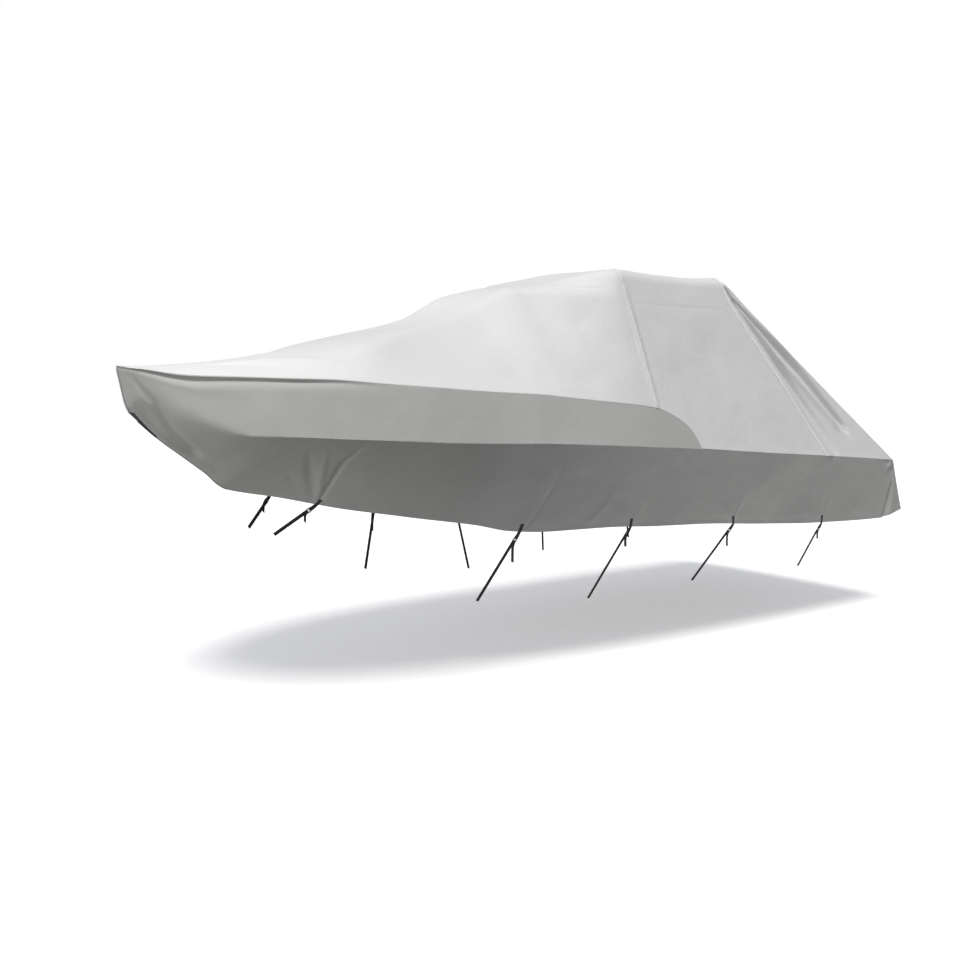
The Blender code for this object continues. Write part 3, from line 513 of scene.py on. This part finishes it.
def makers(tree):
    """Four functions that add to a finish: any node, a sum, a mix of two colours, and a relief."""
    def add(kind, inputs=(), **settings):
        node = tree.nodes.new("ShaderNode" + kind)
        for name, value in settings.items():
            setattr(node, name, value)
        for socket, value in dict(inputs).items():
            if isinstance(value, bpy.types.NodeSocket):
                tree.links.new(value, node.inputs[socket])
            else:
                node.inputs[socket].default_value = value
        return node

    def calculate(operation, *values):
        return add("Math", enumerate(values), operation=operation).outputs[0]

    def between(low, high, share):
        low, high = ((*colour, 1) if isinstance(colour, tuple) else colour for colour in (low, high))
        return add("Mix", {0: share, 6: low, 7: high}, data_type="RGBA").outputs[2]

    def raised(height, distance, strength, under=None):
        below = {"Normal": under} if under else {}
        return add("Bump", {"Height": height, "Distance": distance, "Strength": strength, **below}).outputs[0]

    return add, calculate, between, raised


def coated_polyester(name, colour, mottle, crumple, stitch_rows, thread, painted_light_colour=None):
    """Woven polyester with a soft coating: slightly uneven in colour, crumpled, and stitched. With a light
    colour given, it is painted lighter towards the bow, as painted light where more light falls."""
    material, shader = new_finish(name, {"Roughness": 0.72, "Specular IOR Level": 0.32,
                                         "Sheen Weight": 0.12, "Sheen Roughness": 0.5})
    add, calculate, between, raised = makers(material.node_tree)
    place = add("TexCoord").outputs["Object"]
    cut = add("Attribute", attribute_name="cut").outputs["Vector"]
    axes = add("SeparateXYZ", {0: cut}).outputs

    def noise_at(scale, detail):
        return add("TexNoise", {"Scale": scale, "Detail": detail, "Vector": place}).outputs["Fac"]

    def shade(share):
        return tuple(c * share for c in colour)

    tone = between(shade(1 - mottle), shade(1 + mottle), noise_at(2.6, 3.0))
    tone = between(tone, shade(1 - 1.6 * mottle), calculate("MULTIPLY", noise_at(17, 3.0), 0.4))
    # Painted light: the colour turns lighter towards the bow.
    if painted_light_colour:
        tone = between(tone, painted_light_colour, add("MapRange", {**PAINTED_LIGHT_SPAN, "Value": axes["X"]}).outputs["Result"])
    dash = calculate("LESS_THAN", calculate("FRACT", calculate("DIVIDE", axes["X"], STITCH)), DASH)
    sewn = 0.0
    for height in stitch_rows:
        sewn = calculate("ADD", sewn, calculate("COMPARE", axes["Y"], height, THREAD))
    sewn = calculate("MULTIPLY", sewn, dash)
    bump = raised(noise_at(9, 2.0), 0.010, crumple)
    bump = raised(noise_at(30, 3.0), 0.003, crumple, bump)
    for axis in ("X", "Y"):
        yarns = add("TexWave", {"Scale": 2 * math.pi / 20 / YARN, "Distortion": 0.4, "Vector": cut},
                    bands_direction=axis)
        bump = raised(yarns.outputs["Fac"], 0.0001, 0.5, bump)
    bump = raised(sewn, 0.0008, 0.6, bump)
    material.node_tree.links.new(between(tone, thread, sewn), shader.inputs["Base Color"])
    material.node_tree.links.new(bump, shader.inputs["Normal"])
    return material


def paint_stem_shade(piece, reach):
    """Paints shade on the cloth at the stem's knuckle, this far out from the centre line."""
    piece.data.materials.append(painted_shade_cloth)
    for face in piece.data.polygons:
        x, y, z = np.array(face.center) + ORIGIN
        if STEM_SHADE_SPAN[0] < x < STEM_SHADE_SPAN[1] and abs(y) < reach and z < STEM_SHADE_SPAN[2]:
            face.material_index = 1


dark_cloth = coated_polyester("dark_cloth", (0.432, 0.438, 0.418), 0.05, 0.35, (0.026,), (0.30, 0.30, 0.29))
# Near-black copy of the dark cloth: painted shade at the stem's knuckle, where the open underside lies in
# shadow.
painted_shade_cloth = coated_polyester("painted_shade_cloth", (0.075, 0.075, 0.072), 0.05, 0.35, (0.026,),
                                (0.05, 0.05, 0.05))
side_lift = np.zeros(len(points))
foot = station["hem start"]
for side in ("port", "starboard"):
    for k, height in enumerate(HEM_LIFTS):
        side_lift[numbers[side][foot + 1:, k]] = height
for k, height in enumerate(HEM_LIFTS[:-1]):
    side_lift[numbers["transom"][k]] = height


def turned_edge(grid, from_station):
    """The turned-up ply inside the lower edge, as a grid that ends at the edge itself."""
    inner = [grid[from_station:, 0]]
    for k in (1, 2, 3, 4):
        own = grid[from_station:, k]
        inner.insert(0, grow(points[own] - normals[own] * HEM_PLY, normals[own]))
    return np.stack(inner, axis=1)


turned = {}
for side in ("port", "starboard"):
    turned[side] = turned_edge(numbers[side], foot)
turned["transom"] = turned_edge(numbers["transom"].T, 0)
side_lift = np.concatenate((side_lift, np.full(len(points) - len(side_lift), CLOTH)))
for side, flip in (("port", False), ("starboard", True)):
    grid = numbers[side]
    patches = [(turned[side], flip, 0), (grid[:, :row["edge"] + LAP_ROWS + 1], flip, 0)]
    piece = cloth_piece("side_panel_" + side, patches, side_lift, dark_cloth)
    # Paints shade on the panel at the stem's knuckle.
    paint_stem_shade(piece, 0.025)
    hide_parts("side_" + side)

# ---------------------------------------------------------------------------------------------
# Transom panel. The same dark cloth across the stern, sewn to both sides at the corners, with the
# same turned-up lower edge.
# ---------------------------------------------------------------------------------------------
lapped = np.concatenate((numbers["transom"].T, numbers["rear"].T[:, 1:LAP_ROWS + 1]), axis=1)
patches = [(turned["transom"], True, 1), (lapped, True, 1)]
transom = cloth_piece("transom_panel", patches, side_lift, dark_cloth)
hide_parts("transom")

# ---------------------------------------------------------------------------------------------
# Top panels: front, middle and rear. Light polyester of the same weave, lapped over the dark
# cloth and sewn with two rows, and drawn tight from the bow up to the middle and down to the transom.
# ---------------------------------------------------------------------------------------------
# Its last colour is painted light: the cloth is painted lighter towards the bow, where more light falls on
# the deck.
light_cloth = coated_polyester("light_cloth", (0.68, 0.682, 0.675), 0.03, 0.35, (0.0025, 0.0085),
                               (0.60, 0.60, 0.595), (0.79, 0.79, 0.78))
LAP_LIFTS = (0.0007, 0.0009, 0.0009, 0.0005)    # how far its rows stand over the dark cloth
top_lift = np.zeros(len(points))
for grid in (numbers["port"][:, row["edge"]:], numbers["starboard"][:, row["edge"]:], numbers["rear"].T):
    for k, height in enumerate(LAP_LIFTS):
        top_lift[grid[:, k]] = height
front, rear = station["front seam"], station["rear seam"]
for name, low, high, flat, area in (("front", 0, front, (3.75, 3.95), 7.6),
                                    ("middle", front, rear, (4.60, 1.95), 5.7),
                                    ("rear", rear, len(half) - 1, (3.60, 2.70), 6.4)):
    patches = []
    for side, flip in (("port", False), ("starboard", True)):
        patches.append((numbers[side][low:high + 1, row["edge"]:], flip, 0))
    if name == "rear":
        patches.append((numbers["rear"].T, True, 1))
    piece = cloth_piece("top_panel_" + name, patches, top_lift, light_cloth)
    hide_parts("top_" + name)

# ---------------------------------------------------------------------------------------------
# Front and rear welts. Raised seams where the light panels meet: both edges are folded under and
# sewn down twice. They wander a little, as a long hand-fed seam does, and the rear one is painted
# paler, a painted highlight on its crest.
# ---------------------------------------------------------------------------------------------
# A paler copy of the light cloth for the rear welt: a painted highlight on its crest.
painted_highlight_cloth = coated_polyester("painted_highlight_cloth", (0.84, 0.842, 0.835), 0.03, 0.35, (0.0025, 0.0085),
                              (0.66, 0.66, 0.655))
WAVERS, SWELLS, SWELL = 14, 22, 0.22    # how many to a metre, and how much the height swells
#  share of the half width, height mm
WELT_SHAPE = ((-1.0, 0.4), (-0.93, 1.9), (-0.72, 3.0), (-0.55, 2.9), (-0.30, 4.0), (0.0, 4.5), (0.30, 4.0),
              (0.55, 2.9), (0.72, 3.0), (0.93, 1.9), (1.0, 0.4))


def sewn_strip(name, own, left, right, width, shape, base, wander, seam_at, material):
    """A raised strip along a line of point numbers, with the cloth's points at each side of it. It lies
    this base above the cloth and wanders this far, and seam_at says which of its sizes are sewn."""
    def finer(values):
        steps = np.linspace(0, len(values) - 1, (len(values) - 1) * 4 + 1)
        return np.stack([np.interp(steps, np.arange(len(values)), values[:, k]) for k in range(3)], axis=1)

    def unit(vectors):
        return vectors / np.maximum(np.linalg.norm(vectors, axis=1), 1e-9)[:, None]

    line, up = finer(points[own]), unit(finer(normals[own]))
    beside = [unit(finer(unit(points[k] - points[own]))) for k in (left, right)]
    along = unit(np.gradient(line, axis=0))
    run = run_along(line)
    waver = np.array([noise.noise((r * WAVERS, 0.3, width * 90)) for r in run])
    swell = 1 + SWELL * np.array([noise.noise((r * SWELLS, 5.1, 2.2)) for r in run])
    rings, cut = [], []
    for share, height in (*shape, (1.0, 0), (0.0, 0), (-1.0, 0)):
        way = beside[0] if share < 0 else beside[1]
        off = unit(np.cross(along, way))
        off *= np.sign((off * up).sum(axis=1))[:, None]
        if share == 0:
            off = up
        place = line + way * (abs(share) * width / 2) + off * (base + height / 1000 * swell)[:, None]
        rings.append(place + beside[1] * (wander * waver)[:, None])
        cut.append(np.stack((run, np.full(len(run), seam_at(share)), 0 * run), axis=1))
    return wrapped(name, np.stack(rings, axis=1), np.stack(cut, axis=1), material)


def wrapped(name, rings, cut, material):
    """A closed piece round rings of points, one after another, each point with its place in the cut."""
    corner = np.arange(rings.shape[0])[:, None] * rings.shape[1] + np.arange(rings.shape[1])[None, :]
    turned_on = np.roll(corner, -1, axis=1)
    quads = np.stack((corner[:-1], turned_on[:-1], turned_on[1:], corner[1:]), axis=2).reshape(-1, 4)
    ends = [corner[0, ::-1].tolist(), corner[-1].tolist()]
    mesh = bpy.data.meshes.new(name)
    mesh.from_pydata(rings.reshape(-1, 3).tolist(), [], quads.tolist() + ends)
    mesh.attributes.new("cut", "FLOAT_VECTOR", "POINT").data.foreach_set("vector", cut.ravel())
    bm = bmesh.new()
    bm.from_mesh(mesh)
    return turned_out(name, bm, mesh, material)


def turned_out(name, bm, mesh, material):
    """The closed form as a piece on the cover, with its faces turned outwards."""
    bmesh.ops.recalc_face_normals(bm, faces=bm.faces)
    bm.to_mesh(mesh)
    bm.free()
    return shown(name, mesh, material)


ridge_row = half.shape[1] - 1
over = [("port", j) for j in range(row["edge"], ridge_row + 1)]
over += [("starboard", j) for j in range(ridge_row - 1, row["edge"] - 1, -1)]
for name, at, width, cloth in (("front", front, 0.020, light_cloth), ("rear", rear, 0.030, painted_highlight_cloth)):
    own = np.array([numbers[side][at, j] for side, j in over])
    left = np.array([numbers[side][at - 1, j] for side, j in over])
    right = []
    for side, j in over:
        if name == "rear" and j >= row["corner"]:
            k = j - row["corner"]
            right.append(numbers["rear"][-2][k if side == "port" else -1 - k])
        else:
            right.append(numbers[side][at + 1, j])
    welt = sewn_strip("welt_strip_" + name, own, left, np.array(right), width, WELT_SHAPE, base=0.0002,
                      wander=0.0014, seam_at=lambda share: 0.0055 + 0.005 * share, material=cloth)
    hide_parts("welt_" + name)

# ---------------------------------------------------------------------------------------------
# Stem binding. A dark tape over the seam that joins both side panels down the stem, stitched
# along both edges.
# ---------------------------------------------------------------------------------------------
BINDING_WIDTH = 0.018
BINDING_SHAPE = ((-1.0, 0.3), (-0.9, 1.2), (-0.6, 1.3), (0.0, 1.8), (0.6, 1.3), (0.9, 1.2), (1.0, 0.3))
down = [(i, 0) for i in range(foot, 0, -1)] + [(0, j) for j in range(row["edge"] + 1)]
own = np.array([numbers["port"][i, j] for i, j in down])
sides = [np.array([numbers[side][max(i, 1), j + 3 if j < row["edge"] - 3 else j] for i, j in down])
         for side in ("port", "starboard")]
binding = sewn_strip("stem_tape", own, sides[0], sides[1], BINDING_WIDTH, BINDING_SHAPE, base=0.0012,
                     wander=0.0006, seam_at=lambda share: 0.026 + 0.01 * (abs(share) - 0.7),
                     material=dark_cloth)
# Paints shade on the tape at the stem's knuckle.
paint_stem_shade(binding, 0.010)
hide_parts("stem_binding")

# ---------------------------------------------------------------------------------------------
# Strap tabs, five a side. Black webbing, folded round the buckle's top bar and sewn through the
# turned-up edge with a box and a cross.
# ---------------------------------------------------------------------------------------------
WEBBING_WIDTH = 0.025
WEBBING = 0.0014            # its thickness
HANG_OUT = 0.0057           # how far out from the cloth the straps hang
BUCKLE_DROP = 0.050         # lower edge of the cloth to the buckle's top bar
BAR_REACH = 0.0047          # middle of a bar to the middle of the webbing round it
BAR_CORNER = BAR_REACH * 0.86       # the same, down and out, at a corner of its turn
TAB_ROWS = (0.060, 0.0585, 0.054, 0.045, 0.036, 0.028, 0.020, 0.012, 0.006)    # up from the lower edge
#  down from the top bar   out from it
TAB_TURN = ((-0.016, BAR_REACH * 0.95), (0, BAR_REACH), (BAR_CORNER, BAR_CORNER), (BAR_REACH, 0),
            (BAR_CORNER, -BAR_CORNER), (0, -BAR_REACH), (-0.016, -BAR_REACH * 0.6), (-0.036, -0.0022),
            (-0.046, -0.0020))
#  lower edge x   far end x, y, z         tail
STRAPS = (
    (1.120, (0.890, 0.200, 1.005), 0.060),
    (2.310, (2.103, 0.750, 0.512), 0.130),
    (3.200, (3.116, 0.750, 0.404), 0.070),
    (4.250, (4.070, 0.900, 0.450), 0.100),
    (5.360, (5.270, 1.000, 0.450), 0.060),
)
ACROSS = np.array((-1.0, -0.93, -0.62, -0.31, 0.0, 0.31, 0.62, 0.93, 1.0))     # of the half width
PLY = np.array((0.35, 0.85, 1.0, 0.94, 1.0, 0.94, 1.0, 0.85, 0.35))           # of the thickness
RIB, WEFT = 0.0014, 0.0009  # half the pitch of the webbing's ribs, and of the threads across
BOX_MIDDLE, BOX_HALF = 0.029, 0.023     # the sewn box, down from the tab's upper end
BOX_STRETCH = 2.556         # its length over its width
BOX_STITCH, BOX_DASH = 0.003, 0.7       # as STITCH and DASH


def webbing_finish(name, boxed):
    """Ribbed black polypropylene webbing; a boxed one is sewn with a box and a cross."""
    material, shader = new_finish(name, {"Roughness": 0.62, "Specular IOR Level": 0.4, "Sheen Weight": 0.2})
    add, calculate, between, raised = makers(material.node_tree)
    axes = add("SeparateXYZ", {0: add("Attribute", attribute_name="cut").outputs["Vector"]}).outputs
    ribs = calculate("PINGPONG", axes["Y"], RIB)
    weft = calculate("PINGPONG", calculate("ADD", axes["X"], calculate("MULTIPLY", ribs, 0.8)), WEFT)
    bump = raised(calculate("ADD", calculate("MULTIPLY", ribs, 0.6), weft), 0.6, 0.9)
    worn = add("TexNoise", {"Scale": 60}).outputs["Fac"]
    colour = between((0.010, 0.010, 0.011), (0.030, 0.030, 0.032), worn)
    if boxed:
        inner = calculate("MULTIPLY", calculate("ABSOLUTE", axes["Y"]), BOX_STRETCH)
        middle = calculate("ABSOLUTE", calculate("SUBTRACT", axes["X"], BOX_MIDDLE))
        box = calculate("COMPARE", calculate("MAXIMUM", inner, middle), BOX_HALF, 0.0009)
        cross = calculate("COMPARE", inner, middle, 0.0013)
        cross = calculate("MULTIPLY", cross, calculate("LESS_THAN", middle, BOX_HALF))
        stitch = calculate("DIVIDE", calculate("ADD", axes["X"], axes["Y"]), BOX_STITCH)
        dash = calculate("LESS_THAN", calculate("FRACT", stitch), BOX_DASH)
        sewn = calculate("MULTIPLY", calculate("MAXIMUM", box, cross), dash)
        colour = between(colour, (0.075, 0.075, 0.078), sewn)
    material.node_tree.links.new(bump, shader.inputs["Normal"])
    material.node_tree.links.new(colour, shader.inputs["Base Color"])
    return material


def ribbon(name, rows, material):
    """Webbing through rows of points across its width, each as wide as ACROSS says."""
    run = run_along(rows[:, len(ACROSS) // 2])
    along, across = np.gradient(rows, axis=0), np.gradient(rows, axis=1)
    out = np.cross(along, across)
    out /= np.maximum(np.linalg.norm(out, axis=2), 1e-12)[:, :, None]
    thick = out * (PLY * WEBBING / 2)[None, :, None]
    rings = np.concatenate((rows + thick, (rows - thick)[:, ::-1]), axis=1)
    width = np.concatenate((ACROSS, ACROSS[::-1])) * WEBBING_WIDTH / 2
    cut = np.stack(np.broadcast_arrays(run[:, None], width[None, :], 0.0), axis=2)
    return wrapped(name, rings, cut, material)


def rounded(path, times):
    """The path with its corners cut, so that webbing bends in curves."""
    path = np.array(path)
    for _ in range(times):
        near, far = 0.75 * path[:-1] + 0.25 * path[1:], 0.25 * path[:-1] + 0.75 * path[1:]
        path = np.concatenate((path[:1], np.stack((near, far), axis=1).reshape(-1, 3)[1:-1], path[-1:]))
    return path


def on_skirt(side, x, up):
    """A point of the skirt's outer face, this far up from its lower edge, and the way out of it."""
    grid = numbers[side]
    i = int(np.searchsorted(points[grid[foot:, 0], 0], x)) - 1 + foot
    share = (x - points[grid[i, 0], 0]) / (points[grid[i + 1, 0], 0] - points[grid[i, 0], 0])
    found = np.zeros(6)
    for station_number, weight in ((i, 1 - share), (i + 1, share)):
        column = grid[station_number, :row["rail"]]
        place = points[column] + normals[column] * side_lift[column][:, None]
        both = np.concatenate((place, normals[column]), axis=1)
        found += weight * np.array([np.interp(up, run_along(place), both[:, k]) for k in range(6)])
    return found[:3], found[3:] / np.linalg.norm(found[3:])


def hanging_frame(side, sign, edge_x, far_end):
    """A strap's far end, its buckle's top bar, and the ways across, down and out there."""
    edge, out = on_skirt(side, edge_x - ORIGIN[0], 0.0)
    start = edge + out * HANG_OUT
    end = np.array(far_end) * (1, sign, 1) - ORIGIN
    down = (end - start) / np.linalg.norm(end - start)
    across = np.cross((0.0, sign, 0.0), down)
    across *= np.sign(across[0]) / np.linalg.norm(across)
    out = np.cross(across, down)
    out *= 1 if out[1] * sign > 0 else -1
    return end, start + down * BUCKLE_DROP, across, down, out


tab_webbing, strap_webbing = webbing_finish("tab_webbing", True), webbing_finish("strap_webbing", False)
straps = [(side, sign, k + 1, *row_of) for side, sign in (("port", -1), ("starboard", 1))
          for k, row_of in enumerate(STRAPS)]
for side, sign, number, edge_x, far_end, _ in straps:
    _, centre, across, down, out = hanging_frame(side, sign, edge_x, far_end)
    x = edge_x - ORIGIN[0]
    hem_run = on_skirt(side, x + 0.02, 0)[0] - on_skirt(side, x - 0.02, 0)[0]
    hem_run /= np.linalg.norm(hem_run)
    rows = []
    for up in TAB_ROWS:
        places = []
        for share in ACROSS * WEBBING_WIDTH / 2:
            place, facing = on_skirt(side, x + share * hem_run[0], up)
            places.append(place + facing * CLOTH)
        rows.append(places)
    lowest = on_skirt(side, x, 0.0)[0] + on_skirt(side, x, 0.01)[1] * 0.0022
    half_turn = [centre + down * v + out * level for v, level in TAB_TURN]
    free = rounded([rows[-1][4], lowest, *half_turn], 2)[1:]
    for k, place in enumerate(free):
        share = min(1, (k + 1) / 5)
        width = hem_run * (1 - share) + across * share
        rows.append([place + width * w for w in ACROSS * WEBBING_WIDTH / 2])
    tab = ribbon("tab_%s_sewn_%d" % (side, number), np.array(rows), tab_webbing)
    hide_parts("tab_%s_%d" % (side, number))

# ---------------------------------------------------------------------------------------------
# Buckles, five a side. Black moulded ladder locks: a frame with three bars, the lowest with a
# lip for the thumb, and all edges rounded by the mould.
# ---------------------------------------------------------------------------------------------
BUCKLE_SIDES = (0.0035, 0.0275, 0.0035)     # side, slot, side
BUCKLE_BARS = (0.0040, 0.0060, 0.0045, 0.0060, 0.0040)      # bar, slot, bar, slot, bar
BUCKLE_THICKNESS, BUCKLE_ROUND = 0.0036, 0.0008
BAR_CROWN, THUMB_LIP = 0.0006, 0.0016       # how far the middle bar and the lip stand out
LAST_BAR = sum(BUCKLE_BARS) - BUCKLE_BARS[0] / 2 - BUCKLE_BARS[-1] / 2

moulded, shader = new_finish("moulded_plastic", {"Base Color": (0.012, 0.012, 0.013, 1),
                                                 "Specular IOR Level": 0.5})
add, calculate, between, raised = makers(moulded.node_tree)
grain = add("TexNoise", {"Scale": 1400}).outputs["Fac"]
matt = add("MapRange", {"To Min": 0.36, "To Max": 0.56, "Value": grain}).outputs["Result"]
moulded.node_tree.links.new(matt, shader.inputs["Roughness"])
moulded.node_tree.links.new(raised(grain, 0.0001, 0.5), shader.inputs["Normal"])

for side, sign, number, edge_x, far_end, _ in straps:
    _, centre, across, down, out = hanging_frame(side, sign, edge_x, far_end)
    bm = bmesh.new()
    wide = np.concatenate(([0.0], np.cumsum(BUCKLE_SIDES))) - sum(BUCKLE_SIDES) / 2
    tall = np.concatenate(([0.0], np.cumsum(BUCKLE_BARS))) - BUCKLE_BARS[0] / 2
    corners = {}
    for level in (1, -1):
        for v, drop in enumerate(tall):
            for u, shift in enumerate(wide):
                lip = THUMB_LIP if v == len(tall) - 1 and level > 0 else 0
                rise = level * BUCKLE_THICKNESS / 2 + lip + (BAR_CROWN if v in (2, 3) else 0)
                corners[level, v, u] = bm.verts.new(centre + across * shift + down * drop + out * rise)
    solid = [(v, u) for v in range(5) for u in range(3) if u != 1 or v % 2 == 0]
    for v, u in solid:
        for level in (1, -1):
            bm.faces.new([corners[level, *c] for c in ((v, u), (v, u + 1), (v + 1, u + 1), (v + 1, u))])
        for beyond, first, last in (
                ((v - 1, u), (v, u), (v, u + 1)), ((v + 1, u), (v + 1, u), (v + 1, u + 1)),
                ((v, u - 1), (v, u), (v + 1, u)), ((v, u + 1), (v, u + 1), (v + 1, u + 1))):
            if beyond not in solid:
                bm.faces.new([corners[1, *first], corners[1, *last], corners[-1, *last], corners[-1, *first]])
    bmesh.ops.delete(bm, geom=[v for v in bm.verts if not v.link_faces], context="VERTS")
    mesh = bpy.data.meshes.new("ladder_lock")
    lock = turned_out("ladder_lock_%s_%d" % (side, number), bm, mesh, moulded)
    edges = lock.modifiers.new("moulded edges", "BEVEL")
    edges.width, edges.segments, edges.limit_method = BUCKLE_ROUND, 3, "ANGLE"
    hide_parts("buckle_%s_%d" % (side, number))

# ---------------------------------------------------------------------------------------------
# Straps, five a side. Webbing drawn tight down to what holds the cover, and turned back over the
# buckle's lowest bar, where its free tail comes out and hangs.
# ---------------------------------------------------------------------------------------------
END_ROWS = (0.045, 0.043, 0.020, 0)     # the webbing's last rows, up from its far end
TAIL_OUT = (0.012, BAR_REACH + 0.0015)  # where the tail leaves the bar: down and out
TAIL_LIFT = 0.004           # how far out the tail's end hangs
#  share of the tail   how much its weight draws it down
TAIL_FALL = ((0.2, 1), (0.5, 3), (0.8, 5), (1.0, 6))
for side, sign, number, edge_x, far_end, tail in straps:
    end, centre, across, down, out = hanging_frame(side, sign, edge_x, far_end)

    def at(v, level):
        return centre + down * (LAST_BAR + v) + out * level

    def run_through(kind, places):
        rows = [[place + across * w for w in ACROSS * WEBBING_WIDTH / 2] for place in places]
        return ribbon("strap_%s_%s_%d" % (side, kind, number), np.array(rows), strap_webbing)

    top, fall = at(0, -BAR_REACH), at(*TAIL_OUT)
    length = float(np.linalg.norm(end - top))
    last = [1 - up / length for up in END_ROWS]
    path = [top + (end - top) * share for share in (*np.linspace(0, last[0], 24), *last[1:])]
    drawn = run_through("drawn", path)
    loop = [top, at(-BAR_CORNER, -BAR_CORNER), at(-BAR_REACH, 0), at(-BAR_CORNER, BAR_CORNER),
            at(0, BAR_REACH), fall]
    for reach, pull in TAIL_FALL:
        way = down + pull * np.array((0.0, 0.0, -1.0))
        loop.append(fall + out * TAIL_LIFT * reach + way / np.linalg.norm(way) * tail * reach)
    free = run_through("tail", rounded(loop, 2))
    tuple(top)
    [tuple(p) for p in path[::2] + path[-1:]]
    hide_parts("strap_%s_%d" % (side, number))

# ---------------------------------------------------------------------------------------------
# Floor, light and camera. A pale floor, a broad soft light from above the bow on the port side, a
# low light from ahead and a small one by the stem, a white studio behind, and the camera low off
# the port bow.
# ---------------------------------------------------------------------------------------------
bpy.ops.mesh.primitive_plane_add(size=90, location=(0, 0, -ORIGIN[2]))
floor = bpy.context.object
floor.name = "floor"
pale, _ = new_finish("pale_floor", {"Base Color": (0.86, 0.86, 0.86, 1), "Roughness": 0.9,
                                    "Emission Color": (1, 1, 1, 1), "Emission Strength": 0.35})
floor.data.materials.append(pale)
floor.visible_diffuse = floor.visible_glossy = False

world = bpy.data.worlds.new("studio")
bpy.context.scene.world = world
world.use_nodes = True
add, calculate, between, raised = makers(world.node_tree)
backdrop = world.node_tree.nodes["Background"]
backdrop.inputs["Color"].default_value = (1, 1, 1, 1)
upward = add("SeparateXYZ", {0: add("TexCoord").outputs["Generated"]}).outputs["Z"]
height = add("MapRange", {"From Min": -0.1, "From Max": 0.1, "Value": upward}).outputs["Result"]
room = add("Background", {"Color": between((0.25, 0.247, 0.238), (0.30, 0.31, 0.355), height)})
seen = add("LightPath").outputs["Is Camera Ray"]
either = add("MixShader", {0: seen, 1: room.outputs[0], 2: backdrop.outputs[0]})
world.node_tree.links.new(either.outputs[0], world.node_tree.nodes["World Output"].inputs["Surface"])


def light(name, kind, energy, ahead):
    """A light of the studio that shines along this way."""
    lamp = bpy.data.objects.new(name, bpy.data.lights.new(name, kind))
    lamp.data.energy = energy
    lamp.rotation_euler = ahead.to_track_quat("-Z", "Y").to_euler()
    bpy.context.scene.collection.objects.link(lamp)
    return lamp


heading, high = math.radians(232), math.radians(68)
toward = Vector((math.cos(heading) * math.cos(high), math.sin(heading) * math.cos(high), math.sin(high)))
key = light("key", "SUN", 2.5, -toward)
key.data.color, key.data.angle = (1.0, 0.985, 0.94), math.radians(25)
aft = Vector((math.cos(math.radians(10)), math.sin(math.radians(10)), -0.12))
light("front_fill", "SUN", 1.1, aft).data.angle = math.radians(60)
card_place, stem = Vector((-5.2, 0.7, -2.55)), Vector((-3.6, -0.05, -1.25))
card = light("card", "AREA", 9.0, stem - card_place)
card.data.shape, card.data.size, card.location, card.visible_camera = "DISK", 1.4, card_place, False

turn, tilt = math.radians(53.555), math.radians(5.313)
level = Vector((math.cos(turn), math.sin(turn), 0))
right = Vector((math.sin(turn), -math.cos(turn), 0))
ahead = math.cos(tilt) * level - math.sin(tilt) * Vector((0, 0, 1))
above = math.cos(tilt) * Vector((0, 0, 1)) + math.sin(tilt) * level
camera = bpy.data.objects.new("camera", bpy.data.cameras.new("camera"))
camera.matrix_world = Matrix((right, above, -ahead)).transposed().to_4x4()
camera.location = (-5.727, -6.106, -0.87)
camera.data.lens, camera.data.sensor_width, camera.data.sensor_height = 37.5, 36, 36
bpy.context.scene.collection.objects.link(camera)
bpy.context.scene.camera = camera
bpy.context.scene.view_settings.view_transform = "Standard"
